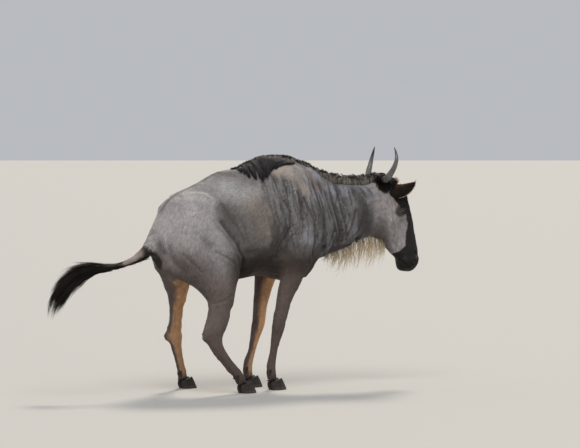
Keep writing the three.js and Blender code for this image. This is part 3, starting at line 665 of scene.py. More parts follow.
def ear_spine(side, share):
    """Centre line of an ear and its tangent, in the head's axes, at shares of its length from root to tip."""
    mirror = np.array([1, side, 1])
    root = np.array(EAR_ROOT) * mirror
    tip = root + np.array(EAR_LIE) * mirror / np.linalg.norm(EAR_LIE) * EAR_LENGTH
    bend = (root + tip) / 2 + np.array(EAR_BULGE) * mirror
    t = np.atleast_1d(share)[:, None]
    at = (1 - t) ** 2 * root + 2 * t * (1 - t) * bend + t**2 * tip
    along = 2 * (1 - t) * (bend - root) + 2 * t * (tip - bend)
    return at, along / np.linalg.norm(along, axis=1, keepdims=True)


def ear_surface(side, share, across, depth):
    """Points of an ear: share along it, across from lower rim (-1) to upper (1), depth out from its cup."""
    share, across, depth = np.broadcast_arrays(*map(np.asarray, (share, across, depth)))
    at, along = ear_spine(side, share.ravel())
    opening = np.array(EAR_OPENING) * [1, side, 1]
    out = -(opening - (along @ opening)[:, None] * along)
    out /= np.linalg.norm(out, axis=1, keepdims=True)
    broad = np.cross(out, along)
    t = np.clip(share.ravel(), 0, 1)
    half = EAR_HALF * np.sin(np.pi * (0.2 + 0.8 * t)) ** 0.7 + 1.2
    cup = np.radians(112 + (38 - 112) * t**0.7)
    r = half / np.sin(np.minimum(cup, np.pi / 2))
    angle = across.ravel() * cup
    d = depth.ravel()
    return from_head(
        at + broad * (np.sin(angle) * (r + d))[:, None] + out * (np.cos(angle) * (r + d) - r)[:, None]
    )


def make_ear(side):
    """A thin cupped leaf with round edges, whose root runs into the head."""
    shares = np.linspace(-0.16, 1, EAR_RINGS)
    rings = []
    across = np.linspace(-1, 1, EAR_ARC)
    for t in shares:
        thick = 3.4 - 2.0 * max(t, 0)
        plump = thick * np.sqrt(np.maximum(1 - across**6, 0.08))
        outer = ear_surface(side, t, across, plump / 2)
        inner = ear_surface(side, t, across[::-1], -plump[::-1] / 2)
        rings.append(np.vstack([outer, inner]))
    verts, faces = closed_tube(rings)
    return verts, faces if side == RIGHT else faces[:, ::-1]


# Horns
HORN_SPREAD = 167
HORN_RISE = 172
HORN_LINE = [
    (-20, 0.24, 0.06),
    (-24, 0.48, 0),
    (-22, 0.7, 0),
    (-12, 0.89, 0.16),
    (4, 0.99, 0.38),
    (15, 1, 0.62),
    (18, 0.91, 0.82),
    (17, 0.78, 1),
]
HORN_RINGS = 150
HORN_SIDES = 32


def horn_route(side):
    """The middle line of a horn and its direction."""
    turn = np.array(Matrix.Rotation(HEAD_TURN, 3, "Z"))
    points = [[x, side * out * HORN_SPREAD, rise * HORN_RISE] for x, out, rise in HORN_LINE]
    line = route_through(np.array(points) @ turn.T + POLL, HORN_RINGS)
    return line, unit(np.gradient(line, axis=0))


def make_horn(side):
    line, along = horn_route(side)
    t = np.linspace(0, 1, HORN_RINGS)
    radius = 24 * (1 - t) ** 0.7 * (1 - 0.2 * t) + 2.0 * (1 - t**8)
    growth = 0.5 + 0.5 * np.sin(t * 95 + 2.2 * np.sin(t * 17))
    radius += (0.9 * growth - 0.5) * (1 - smoothstep(t, 0.25, 0.55))
    up = np.cross(along, [1.0, 0, 0])
    up /= np.linalg.norm(up, axis=1, keepdims=True)
    across = np.cross(up, along)
    angle = np.linspace(0, 2 * np.pi, HORN_SIDES, endpoint=False)
    ring = across[:, None] * np.cos(angle)[None, :, None] + up[:, None] * np.sin(angle)[None, :, None] * 0.94
    rings = line[:, None] + ring * radius[:, None, None]
    verts, faces = closed_tube(rings)
    rough = (noise(verts, 9, 31) - 0.5) * 1.1 + (noise(verts, 3.5, 32) - 0.5) * 0.5
    base = 1 - smoothstep(np.concatenate([np.repeat(t, HORN_SIDES), [0, 1]]), 0.3, 0.6)
    core = np.vstack([np.repeat(line, HORN_SIDES, axis=0), line[:1], line[-1:]])
    away = verts - core
    verts += (
        away / np.maximum(np.linalg.norm(away, axis=1, keepdims=True), 1e-6)
        * (rough * (0.25 + base))[:, None]
    )
    shares = np.concatenate([np.repeat(t, HORN_SIDES), [0, 1]])
    return verts, faces, shares


# Colours as 8-bit screen values, turned to light values at the end
def linear(tone):
    c = np.clip(np.asarray(tone, float) / 255, 0, 1)
    return np.where(c <= 0.04045, c / 12.92, ((c + 0.055) / 1.055) ** 2.4)


def painted(tone, colour, weight):
    """The tone with a colour laid over it, as far as each point's weight says."""
    weight = np.asarray(weight, float)[:, None]
    return tone * (1 - weight) + np.asarray(colour, float) * weight


FOLD_PAINTED_SHADE = (46, 41, 38)
SILVER = (156, 151, 150)
SLATE = (120, 118, 118)
ASH = (109, 107, 108)
SMOKE = (97, 93, 91)
UNDERSIDE_PAINTED_SHADE = (31, 24, 21)
BELLY_BROWN_AND_SHADE = (44, 34, 28)
LEG_BROWN = (90, 78, 73)
SHIN_BROWN = (80, 66, 61)
INNER_TAN_AND_LIGHT = (206, 158, 112)
FACE_GREY = (144, 138, 138)
JAW_GREY = (84, 77, 74)
BLAZE_BROWN = (25, 20, 18)
MUZZLE_BLACK = (12, 10, 9)
FOREHEAD_BROWN = (32, 23, 18)
EAR_RIM_PALE_AND_LIGHT = (176, 160, 138)
EAR_BROWN = (38, 29, 24)
EAR_HOLLOW = (150, 132, 114)
EAR_RUST = (92, 52, 32)
SPINE_BROWN = (70, 64, 61)
BRINDLE_BLUE = (140, 141, 149)
BRINDLE_DARK = (50, 46, 45)
PAINTED_RIM_LIGHT = (240, 194, 140)
KNEE_BROWN = (66, 56, 52)
SHIN_DARK = (56, 45, 41)
PASTERN_BROWN = (52, 43, 39)
SEAT_BLACK = (26, 21, 19)
DOCK_GREY = (168, 154, 144)
DOCK_DARK = (40, 34, 32)
FACE_STREAK = (92, 89, 90)
BLAZE_RIM = (120, 96, 78)
TUFT_CREAM = (220, 206, 186)
TUFT_ROOT = (226, 214, 196)
TUFT_TIP = (230, 218, 200)
EAR_DOWN = (186, 170, 148)
RIM_HAIR_PALE_AND_LIGHT = (240, 224, 196)
RIM_RUST = (112, 70, 48)
NOSTRIL_PAINTED_HIGHLIGHT = (104, 84, 72)
LIP_BROWN = (60, 40, 32)
LID_BLACK = (24, 19, 18)
BROW_BROWN = (112, 92, 76)
EYE_SHADE = (34, 28, 26)
WITHERS_ROOT = (46, 45, 47)
WITHERS_TIP = (34, 33, 36)
WITHERS_PAINTED_SHEEN = (96, 93, 94)
CREST_ROOT = (214, 204, 192)
CREST_TIP = (26, 24, 25)
CREST_PALE = (186, 178, 170)
BEARD_ROOT = (186, 170, 142)
BEARD_TIP = (226, 208, 172)
BRUSH_ROOT = (22, 17, 14)
BRUSH_TIP = (24, 17, 13)
BLAZE_TIP = (34, 26, 22)
EYE_BROWN = (26, 19, 16)
IRIS_BROWN = (46, 28, 18)
IRIS_EDGE = (14, 10, 9)
PUPIL_BLACK = (6, 6, 8)
HORN_GREY = (76, 75, 76)
HORN_PALE = (158, 154, 146)
HORN_RING_DARK = (48, 44, 41)
HORN_TIP = (46, 44, 44)
HOOF_BROWN = (50, 44, 40)
HOOF_WORN = (88, 78, 68)
HOOF_DARK = (30, 26, 24)

# The edge of the dark front of the face: shares of the head's length, and how far forward it lies there
BLAZE_LINE = (
    [0, 0.12, 0.24, 0.32, 0.37, 0.46, 0.52, 0.6, 0.74, 0.77, 0.8],
    [22, 10, 17, 34, 56, 63, 66, 43, 22, -11, -80]
)

# Soft patches of the coat, laid on the near side and mirrored: (pixels, radius, colour, strength). Some are
# the coat's own markings; others are painted shade (low haunch, behind the elbow, low chest, brisket) and
# painted highlights (upper back, ridge of the hip, top of the shoulder).
PATCHES_AND_PAINTED_LIGHT = [
    ([(225, 212), (230, 222), (236, 236)], 52, (72, 68, 66), 0.7),
    ([(205, 238), (211, 244)], 26, (96, 94, 93), 0.6),
    # painted shade low on the haunch
    ([(188, 262), (206, 266)], 66, (82, 74, 74), 0.55),
    # painted highlight on the upper back
    ([(226, 188), (240, 194), (252, 194)], 62, (176, 174, 174), 0.65),
    ([(256, 206), (264, 216), (265, 230)], 70, (140, 128, 116), 0.55),
    ([(285, 292), (284, 318)], 44, (140, 120, 108), 0.6),
    ([(222, 338), (223, 354)], 24, (160, 124, 98), 0.6),
    # painted shade behind the elbow
    ([(284, 250), (292, 258), (296, 266)], 44, (62, 54, 50), 0.55),
    ([(222, 173.5), (234, 175)], 18, (84, 70, 60), 0.5),
    # painted highlight along the ridge of the hip
    ([(186, 197), (203, 196), (213, 203)], 22, (178, 174, 172), 0.7),
    ([(160, 243), (164, 252)], 20, (70, 66, 66), 0.6),
    # painted highlights on the top of the shoulder, this line and the next
    ([(278, 171), (290, 164), (300, 160)], 32, (188, 168, 148), 0.65),
    ([(288, 172), (298, 178), (306, 190)], 36, (178, 162, 150), 0.55),
    ([(303, 166), (312, 178), (318, 188)], 13, (120, 86, 66), 0.55),
    # painted shadow on the brisket
    ([(298, 283), (304, 272), (310, 264)], 14, (66, 50, 42), 0.7),
    ([(306, 165), (319, 175), (330, 179), (345, 182), (366, 184)], 16, (190, 178, 166), 0.8),
    ([(373, 206), (380, 203), (389, 200)], 9, (128, 96, 72), 0.5),
    # painted shade low on the chest
    ([(312, 262), (304, 266), (297, 268)], 26, (58, 48, 42), 0.6),
]


def neck_reach(p):
    """1 on the neck and the front of the shoulder, falling off along the flank and at the throat."""
    return smoothstep(p[:, 0], 150, 360) * (1 - smoothstep(p[:, 0], 800, 870)) * smoothstep(p[:, 2], 660, 800)


def brindle(p):
    """The dark stripes of neck, shoulder and flank, from 0 to 1; the skin dips along them too."""
    bend = 60 * (noise(p, 160, 5) - 0.5)
    slant = np.stack([p[:, 0] + bend + 0.2 * p[:, 2], p[:, 1] * 0.2, p[:, 2] * 0.06], -1)
    wide = smoothstep(noise(slant, 22, 4), 0.52, 0.74)
    fine = smoothstep(noise(slant, 8, 9), 0.5, 0.74)
    reach = (
        smoothstep(p[:, 0], -60, 170) * (1 - smoothstep(p[:, 0], 810, 870)) * smoothstep(p[:, 2], 640, 780)
    )
    return np.maximum(wide, 0.85 * fine) * reach * smoothstep(1190 - 0.12 * p[:, 0] - p[:, 2], 10, 70)


class Coat:
    """The markings that skin and hair share, with painted shade along the folds and under the body, and
    painted highlights and shade in some patches and on the legs.
    """

    def __init__(self, ground):
        self.lines = []
        for side in (RIGHT, LEFT):
            for pixels, radius, depth in ALL_FOLDS:
                # Folds get painted shade along their grooves; a raised ridge would get a painted highlight in
                # silver
                shade = FOLD_PAINTED_SHADE if depth > 0 else SILVER
                self.lines.append(
                    (ground.line(pixels, side), radius * 0.85, shade, min(0.14 * abs(depth), 0.72))
                )
            for pixels, radius, colour, strength in PATCHES_AND_PAINTED_LIGHT:
                self.lines.append((ground.line(pixels, side), radius, colour, strength))

    def tone(self, p, n):
        """Screen colours of the coat at points of the skin with their normals."""
        x, y, z = p.T
        head = to_head(p)
        mottle = noise(p, 70, 1)
        tone = np.broadcast_to(np.array(SLATE, float), p.shape).copy()
        rump = 1 - smoothstep(x + 0.25 * (z - 900), -330, -60)
        tone = painted(tone, SILVER, rump * (0.9 - 0.25 * smoothstep(1020 - z, 120, 420)))
        tone = painted(tone, SMOKE, bell(x, -30, 230) * (1 - smoothstep(z, 960, 1080)) * 0.75)
        tone = painted(tone, ASH, smoothstep(x, 380, 560))
        # Low on the body the belly's own dark brown, deepened as painted shade
        low = 1 - smoothstep(z + 40 * (mottle - 0.5), 640, 800)
        tone = painted(
            tone, BELLY_BROWN_AND_SHADE, low * smoothstep(x, -230, -80) * (1 - smoothstep(x, 480, 560)) * 0.95
        )
        # Surfaces that face down get painted shade
        under = smoothstep(-n[:, 2], 0.25, 0.8) * (1 - smoothstep(x, 700, 800))
        tone = painted(tone, UNDERSIDE_PAINTED_SHADE, under * 0.6 * smoothstep(z, 500, 620))
        tone = self.stripes(tone, p)
        for line, radius, colour, strength in self.lines:
            tone = painted(tone, colour, strength * np.exp(-((distance_to(p, line) / radius) ** 2)))
        spine = np.exp(-((y / 13) ** 2)) * smoothstep(n[:, 2], 0.2, 0.7)
        tone = painted(
            tone, SPINE_BROWN, 0.55 * spine * (1 - smoothstep(x, -120, 40)) * smoothstep(z, 900, 960)
        )
        tone = self.legs(tone, p, n)
        tone = self.tail(tone, p, n)
        on_head = smoothstep(x, 800, 850) * smoothstep(head[:, 0], -190, -150)
        face = self.face(tone.copy(), head)
        tone = tone * (1 - on_head[:, None]) + face * on_head[:, None]
        speckle = 1 + 0.16 * (noise(p, 5.5, 2) - 0.5) + 0.12 * (noise(p, 14, 3) - 0.5) + 0.1 * (mottle - 0.5)
        return np.clip(tone * speckle[:, None], 4, 235)

    def stripes(self, tone, p):
        """Dark brindle that runs down the neck, the shoulders and the front of the flanks."""
        tone = painted(tone, BRINDLE_BLUE, 0.75 * smoothstep(noise(p, 55, 8), 0.45, 0.75) * neck_reach(p))
        return painted(tone, BRINDLE_DARK, 0.72 * brindle(p))

    def legs(self, tone, p, n):
        x, y, z = p.T
        side = np.sign(y)
        fore = smoothstep(x, 40, 60)
        leg = 1 - smoothstep(z, 560, 700)
        hind_leg = (1 - fore) * (1 - smoothstep(z + 0.3 * x, 430, 640)) * (1 - smoothstep(x, -150, -60))
        weight = np.maximum(leg * fore, hind_leg)
        tone = painted(tone, LEG_BROWN, weight * 0.9)
        inner = smoothstep(-side * n[:, 1], 0.05, 0.6) * smoothstep(n[:, 0], -0.75, -0.1)
        # The inner faces of the legs are tan, brightened further as painted light
        tone = painted(tone, INNER_TAN_AND_LIGHT, weight * inner * 0.85)
        front = smoothstep(n[:, 0], 0.3, 0.95)
        edge = bell(n[:, 0], 0.75, 0.5) * smoothstep(-side * n[:, 1], -0.1, 0.35)
        # Painted rim light on the front inner edges of the legs
        tone = painted(tone, PAINTED_RIM_LIGHT, weight * edge * smoothstep(z, 150, 330) * 0.7)
        tone = painted(tone, SHIN_BROWN, (1 - smoothstep(z, 120, 420)) * 0.75 * (1 - 0.7 * inner))
        tone = painted(tone, SHIN_DARK, weight * front * (1 - inner) * (1 - smoothstep(z, 300, 520)) * 0.5)
        tone = painted(tone, KNEE_BROWN, bell(z, 330, 60) * fore * (1 - inner) * 0.5)
        return painted(tone, PASTERN_BROWN, (1 - smoothstep(z, 50, 105)) * 0.7)

    def tail(self, tone, p, n):
        x, y, z = p.T
        seat = np.hypot((z - 708) / 66, (y - 8) / 48) + 0.3 * (noise(p, 20, 10) - 0.5)
        tone = painted(
            tone, SEAT_BLACK, (1 - smoothstep(seat, 0.75, 1.0)) * smoothstep(-x, 425, 450) * 0.95
        )
        dock = 1 - smoothstep(x, -590, -560)
        tone = painted(tone, DOCK_GREY, dock * 0.8)
        return painted(tone, DOCK_DARK, dock * smoothstep(-n[:, 2], 0.25, 0.7) * 0.85)

    def face(self, tone, head):
        forward, out, up = head.T
        t = -up / HEAD_LENGTH
        wide = np.abs(out)
        wander = 14 * (noise(head, 26, 6) - 0.5)
        tone = painted(tone, FACE_GREY, smoothstep(t, -0.1, 0.06))
        streak = smoothstep(noise(head * [1, 1, 0.3], 9, 12), 0.5, 0.75)
        tone = painted(tone, FACE_STREAK, 0.32 * streak * smoothstep(t, -0.05, 0.1))
        tone = painted(tone, JAW_GREY, smoothstep(-forward, 40, 90) * smoothstep(t, 0.3, 0.5) * 0.8)
        edge = np.interp(t, *BLAZE_LINE)
        blaze = smoothstep(forward + wander - edge, -5, 6) * smoothstep(t, -0.02, 0.04)
        tone = painted(tone, BLAZE_RIM, bell(forward + wander - edge, -9, 13) * bell(t, 0.3, 0.16) * 0.5)
        tone = painted(tone, BLAZE_BROWN, blaze * 0.97)
        tone = painted(tone, FOREHEAD_BROWN, blaze * (1 - smoothstep(t, 0.12, 0.3)))
        crown = np.hypot(np.hypot((forward + 8) / 58, (up - 4) / 46), out / 96)
        tone = painted(tone, FOREHEAD_BROWN, (1 - smoothstep(crown, 0.85, 1.05)) * 0.95)
        horn_patch = (
            np.hypot((forward + 18) / 34, (t - 0.05) * HEAD_LENGTH / 42) + 0.4 * (noise(head, 18, 7) - 0.5)
        )
        tone = painted(tone, FOREHEAD_BROWN, (1 - smoothstep(horn_patch, 0.8, 1.1)) * (wide > 30) * 0.95)
        mirrored = np.stack([forward, wide, up], -1)
        cream = 1 - smoothstep(np.linalg.norm(mirrored - PALE_TUFT, axis=1), 6, 14)
        tone = painted(tone, TUFT_CREAM, 0.8 * cream)
        muzzle = smoothstep(t + wander / 700, 0.775, 0.83)
        tone = painted(tone, MUZZLE_BLACK, muzzle)
        # Painted highlight on the lit rim of each nostril
        tone = painted(
            tone, NOSTRIL_PAINTED_HIGHLIGHT, bell(t, 0.885, 0.035) * bell(wide, 44, 14) * bell(forward, 66, 18) * 0.8
        )
        tone = painted(tone, LIP_BROWN, bell(t, 0.86, 0.05) * bell(forward, -2, 18) * 0.6)
        for side in SIDES.values():
            centre, (_, along, across) = eye_axes(side)
            rel = from_head(head) - centre
            near = np.linalg.norm(rel, axis=1) < 45
            rim = (1 - smoothstep(slit(rel @ along, rel @ across), 1.3, 2.1)) * near
            tone = painted(tone, LID_BLACK, rim * 0.92)
            tone = painted(
                tone, BROW_BROWN, near * bell(rel @ across, 17, 7) * bell(rel @ along, 0, 16) * 0.35
            )
            dark = 1 - smoothstep(np.linalg.norm(rel + 14 * along - 6 * across, axis=1), 24, 40)
            tone = painted(tone, EYE_SHADE, dark * 0.75)
        return tone


def scattered(skin, count, chance, rng):
    """Points and normals of random places on the skin, even over its area apart from a chance for each."""
    tris = np.vstack(
        [skin.faces[:, [0, 1, 2]], skin.faces[skin.faces[:, 3] != skin.faces[:, 2]][:, [0, 2, 3]]]
    )
    a, b, c = (skin.verts[tris[:, k]] for k in range(3))
    area = np.linalg.norm(np.cross(b - a, c - a), axis=1) / 2
    weight = area * chance((a + b + c) / 3)
    edges = np.cumsum(weight)
    steps = (np.arange(count) + rng.random(count)) / count * edges[-1]
    at = np.minimum(np.searchsorted(edges, steps), len(tris) - 1)
    r1, r2 = np.sqrt(rng.random(count)), rng.random(count)
    shares = np.stack([1 - r1, r1 * (1 - r2), r1 * r2], -1)[:, :, None]
    normals = skin.normals()
    points = (skin.verts[tris[at]] * shares).sum(1)
    upright = (normals[tris[at]] * shares).sum(1)
    return points, unit(upright)


def unit(vectors):
    return vectors / np.maximum(np.linalg.norm(vectors, axis=-1, keepdims=True), 1e-9)


def lie(p, n):
    """The way the coat lies at each point: back and down the body, down the legs and down the face."""
    x, _, z = p.T
    head = to_head(p)
    flow = np.stack([-0.62 - 0.2 * smoothstep(z, 950, 1100), 0 * x, np.full(len(p), -0.62)], -1)
    haunch = 1 - smoothstep(x, -420, -150)
    flow += haunch[:, None] * np.array([0.25, 0, -0.3])
    leg = 1 - smoothstep(z, 480, 700)
    flow = flow * (1 - leg[:, None]) + leg[:, None] * np.array([-0.12, 0, -1.0])
    dock = 1 - smoothstep(x, -600, -560)
    flow = flow * (1 - dock[:, None]) + dock[:, None] * np.array([-1.0, 0, -0.45])
    on_head = (smoothstep(x, 800, 860) * smoothstep(head[:, 0], -190, -150))[:, None]
    jaw = smoothstep(-head[:, 0], 0, 90)[:, None]
    down_face = (np.array([0, 0, -1.0]) * (1 - jaw) + np.array([-0.75, 0, 0.2]) * jaw) @ HEAD_AXES.T
    flow = flow * (1 - on_head) + down_face * on_head
    swirl = np.stack([noise(p, 90, 11), noise(p, 90, 12), noise(p, 90, 13)], -1) - 0.5
    flow = flow + 0.55 * swirl
    flow -= (flow * n).sum(1, keepdims=True) * n
    return unit(flow)


def tufts(points, normals, along, length, width, lift, sink):
    """Folded blades that lie on the skin: vertices, seven to a blade, and faces."""
    count = len(points)
    side = np.cross(along, normals)
    span = np.array([0, 0.55, 1])
    half = np.array([1, 0.8, 0])
    rise = np.array([0, 0.62, 0.8])
    fold = np.array([0.3, 0.3, 0])
    rings = []
    for k in range(3):
        middle = (
            points + along * (span[k] * length)[:, None] + normals
            * (rise[k] * lift * length - sink)[:, None]
        )
        if k == 2:
            rings.append(middle)
            continue
        reach = side * (half[k] * width / 2)[:, None]
        rings += [middle - reach, middle + normals * (fold[k] * width)[:, None], middle + reach]
    verts = np.stack(rings, 1).reshape(-1, 3)
    pattern = np.array([[0, 1, 4, 3], [1, 2, 5, 4], [3, 4, 6, 6], [4, 5, 6, 6]])
    faces = (np.arange(count)[:, None, None] * 7 + pattern).reshape(-1, 4)
    return verts, faces


# Strands of long hair
def strands(paths, widths, turns, flat=0.6):
    """Tapered three-sided hairs along paths (hairs, steps, 3), each as wide as widths says at its root."""
    count, steps = paths.shape[:2]
    along = unit(np.gradient(paths, axis=1))
    side = unit(np.cross(along, turns[:, None]))
    up = np.cross(side, along)
    s = np.linspace(0, 1, steps)[: steps - 1]
    taper = (0.75 + 0.6 * s * (1 - s)) * (1 - s**3) + 0.1
    r = widths[:, None] / 2 * taper
    rings = []
    for k in range(3):
        angle = 2 * np.pi * k / 3 + np.pi / 2
        offset = side[:, :-1] * np.cos(angle) + up[:, :-1] * np.sin(angle) * flat
        rings.append(paths[:, :-1] + offset * r[..., None])
    body = np.stack(rings, 2).reshape(count, -1, 3)
    verts = np.concatenate([body, paths[:, -1:]], axis=1).reshape(-1, 3)
    per = 3 * (steps - 1) + 1
    rows = []
    for ring in range(steps - 2):
        for k in range(3):
            a, b = 3 * ring + k, 3 * ring + (k + 1) % 3
            rows.append([a, b, b + 3, a + 3])
    last = 3 * (steps - 2)
    rows += [[last + k, last + (k + 1) % 3, per - 1, per - 1] for k in range(3)]
    rows.append([2, 1, 0, 0])
    faces = (np.arange(count)[:, None, None] * per + np.array(rows)).reshape(-1, 4)
    shares = np.tile(np.append(np.repeat(s, 3), 1), count)
    return verts, faces, shares, per


def locks(guides, offsets, clump, waver, reach, rng):
    """Paths of the hairs of locks: the hairs start set off from their guide and draw in to it."""
    count, per = offsets.shape[:2]
    steps = guides.shape[1]
    s = np.linspace(0, 1, steps)
    share = reach[..., None] * s
    at = share * (steps - 1)
    low = np.minimum(at.astype(int), steps - 2)
    f = (at - low)[..., None]
    rows = np.arange(count)[:, None, None]
    base = guides[rows, low] * (1 - f) + guides[rows, low + 1] * f
    draw = 1 - clump * share[..., None] ** 0.8
    phase = rng.random((count, per, 1, 3)) * 2 * np.pi
    pace = rng.uniform(2.0, 5.0, (count, per, 1, 3))
    wave = np.sin(phase + pace * share[..., None]) - np.sin(phase)
    size = waver * rng.uniform(0.4, 1.4, (count, per, 1, 1))
    paths = base + offsets[:, :, None] * draw + wave * size * share[..., None] ** 0.7
    return paths.reshape(count * per, steps, 3)


# Baking charts: an unwrap of the skin's own shape, along an axis and round it
PATCH = 0.003


def chart(points, start, end):
    """Places in the unit square for points round the line from start to end."""
    start, end = np.asarray(start, float), np.asarray(end, float)
    along = end - start
    long = along @ along
    share = (points - start) @ along / long
    rel = points - start - share[:, None] * along
    first = unit(
        np.cross(along, [0.0, 1.0, 0.0]) if abs(along[1]) < 0.9 * long**0.5 else np.cross(along, [1.0, 0, 0])
    )
    second = unit(np.cross(along, first))
    turn = np.arctan2(rel @ second, rel @ first) / (2 * np.pi) + 0.5
    return np.stack([np.clip(share, 0, 1), turn], -1) * (1 - 4 * PATCH) + 2 * PATCH


def patches(roots_uv, shape):
    """Baking coordinates of the vertices of pieces: a small patch at each root."""
    return (roots_uv[:, None] + PATCH * shape[None]).reshape(-1, 2)


def finish_piece(obj, material, replaced=()):
    obj.data.materials.append(material)
    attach(obj, "root")
    if replaced:
        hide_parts(*replaced)
    return obj


def set_tone(obj, colours):
    data = obj.data.color_attributes.new("tone", "FLOAT_COLOR", "POINT")
    data.data.foreach_set("color", np.column_stack([colours, np.ones(len(colours))]).ravel())


def set_chart(obj, uv):
    loops = np.empty(len(obj.data.loops), int)
    obj.data.loops.foreach_get("vertex_index", loops)
    obj.data.uv_layers.new(name="OFBake").data.foreach_set("uv", uv[loops].ravel())


# Materials
def new_material(name, roughness, gloss=0.5):
    material = bpy.data.materials.new(name)
    material.use_nodes = True
    tree = material.node_tree
    shader = tree.nodes["Principled BSDF"]
    shader.inputs["Roughness"].default_value = roughness
    shader.inputs["Specular IOR Level"].default_value = gloss
    return material, tree, shader


def tone_node(tree):
    node = tree.nodes.new("ShaderNodeAttribute")
    node.attribute_name = "tone"
    return node.outputs["Color"]


def noise_node(tree, scale, stretch=(1, 1, 1), detail=3.0):
    where = tree.nodes.new("ShaderNodeTexCoord")
    mapping = tree.nodes.new("ShaderNodeMapping")
    mapping.inputs["Scale"].default_value = stretch
    tree.links.new(where.outputs["Object"], mapping.inputs["Vector"])
    node = tree.nodes.new("ShaderNodeTexNoise")
    node.inputs["Scale"].default_value = scale
    node.inputs["Detail"].default_value = detail
    tree.links.new(mapping.outputs["Vector"], node.inputs["Vector"])
    return node.outputs["Fac"]


def varied(tree, colour, factor, low, high):
    """A colour made darker and lighter by a factor from 0 to 1."""
    spread = tree.nodes.new("ShaderNodeMapRange")
    spread.inputs["From Min"].default_value = 0.25
    spread.inputs["From Max"].default_value = 0.75
    spread.inputs["To Min"].default_value = low
    spread.inputs["To Max"].default_value = high
    tree.links.new(factor, spread.inputs["Value"])
    scaled = tree.nodes.new("ShaderNodeVectorMath")
    scaled.operation = "SCALE"
    tree.links.new(colour, scaled.inputs[0])
    tree.links.new(spread.outputs["Result"], scaled.inputs["Scale"])
    return scaled.outputs["Vector"]


def bump(tree, shader, height, strength, distance):
    node = tree.nodes.new("ShaderNodeBump")
    node.inputs["Strength"].default_value = strength
    node.inputs["Distance"].default_value = distance
    tree.links.new(height, node.inputs["Height"])
    tree.links.new(node.outputs["Normal"], shader.inputs["Normal"])


def toned_material(
    name, roughness, grain, stretch=(1, 1, 1), depth=0.0006, strength=0.5, spread=(0.82, 1.18), gloss=0.25
):
    """A finish whose colour is the piece's tone, its markings and, on coat and hair, also painted shade and
    highlights, broken by fine grain that also stands up as bump.
    """
    material, tree, shader = new_material(name, roughness, gloss)
    fine = noise_node(tree, grain, stretch)
    tree.links.new(varied(tree, tone_node(tree), fine, *spread), shader.inputs["Base Color"])
    bump(tree, shader, fine, strength, depth)
    return material, shader


def skin_material():
    material, shader = toned_material("short_coat", 0.72, 420, (1, 1, 0.45), 0.0012, 0.6, (0.78, 1.2))
    shader.inputs["Sheen Weight"].default_value = 0.12
    shader.inputs["Sheen Roughness"].default_value = 0.5
    return material


def tuft_material():
    material, shader = toned_material("coat_tufts", 0.62, 260, (1, 1, 1), 0.0004, 0.4, (0.85, 1.16))
    shader.inputs["Sheen Weight"].default_value = 0.1
    return material


def hair_material(name, roughness=0.5):
    return toned_material(name, roughness, 160, (1, 1, 1), 0.0003, 0.3, (0.8, 1.2))[0]


def horn_material():
    return toned_material("horn", 0.3, 240, (1, 1, 1), 0.0008, 0.4, (0.85, 1.15), 0.6)[0]


def hoof_material():
    return toned_material("hoof", 0.5, 200, (1, 1, 0.3), 0.0008, 0.6, (0.8, 1.2))[0]


def eye_material():
    material, tree, shader = new_material("eye", 0.2, 0.3)
    tree.links.new(tone_node(tree), shader.inputs["Base Color"])
    shader.inputs["Coat Weight"].default_value = 0.18
    shader.inputs["Coat Roughness"].default_value = 0.02
    return material


# Pieces
def make_skin_piece(skin, coat, material):
    ears = [make_ear(side) for side in SIDES.values()]
    verts, faces = joined([(skin.verts, skin.faces)] + ears)
    tones = [linear(coat.tone(skin.verts, skin.normals()))]
    for side, (points, _) in zip(SIDES.values(), ears):
        tones.append(linear(ear_tone(points)))
    obj = make_object("skin", verts, faces)
    set_tone(obj, np.vstack(tones))
    return finish_piece(obj, material, FLESH + ["ear_right", "ear_left"])


def ear_tone(points):
    """Dark backs, a reddish upper rim, a cream lower rim brightened as painted rim light, and a pale hollow.
    """
    shares = np.linspace(-0.16, 1, EAR_RINGS)
    t = np.append(np.repeat(shares, 2 * EAR_ARC), [shares[0], 1])
    arc = np.linspace(-1, 1, EAR_ARC)
    across = np.append(np.tile(np.append(arc, arc[::-1]), EAR_RINGS), [0, 0])
    inside = np.append(np.tile(np.append(np.zeros(EAR_ARC), np.ones(EAR_ARC)), EAR_RINGS), [0, 0])
    tone = np.broadcast_to(np.array(EAR_BROWN, float), points.shape).copy()
    tone = painted(tone, EAR_HOLLOW, inside * (1 - 0.5 * np.abs(across)) * 0.85)
    # The cream lower rim is pale edge hair brightened as painted rim light
    tone = painted(tone, EAR_RIM_PALE_AND_LIGHT, smoothstep(-across, 0.66, 0.9) * smoothstep(t, 0.1, 0.3) * 0.9)
    tone = painted(tone, EAR_RUST, smoothstep(across, 0.75, 1) * smoothstep(t, 0.15, 0.4) * 0.7)
    speckle = 1 + 0.3 * (noise(points, 5, 21) - 0.5)
    return np.clip(tone * speckle[:, None], 4, 235)


def region_chance(name):
    """How readily tufts grow at places of one region of the body."""
    def chance(p):
        x, z = p[:, 0], p[:, 2]
        head = to_head(p)
        on_head = (x > 800) & (head[:, 0] > -165)
        low = z < 470
        if name == "head":
            keep = on_head & ~near_eyes(p, EYE_RADIUS + 5) & (-head[:, 2] < 500)
        elif name == "legs":
            keep = low & ~on_head
        elif name == "rear":
            keep = ~low & ~on_head & (x < -60)
        elif name == "middle":
            keep = ~low & ~on_head & (x >= -60) & (x < 330)
        else:
            keep = ~low & ~on_head & (x >= 330)
        return keep.astype(float)
    return chance


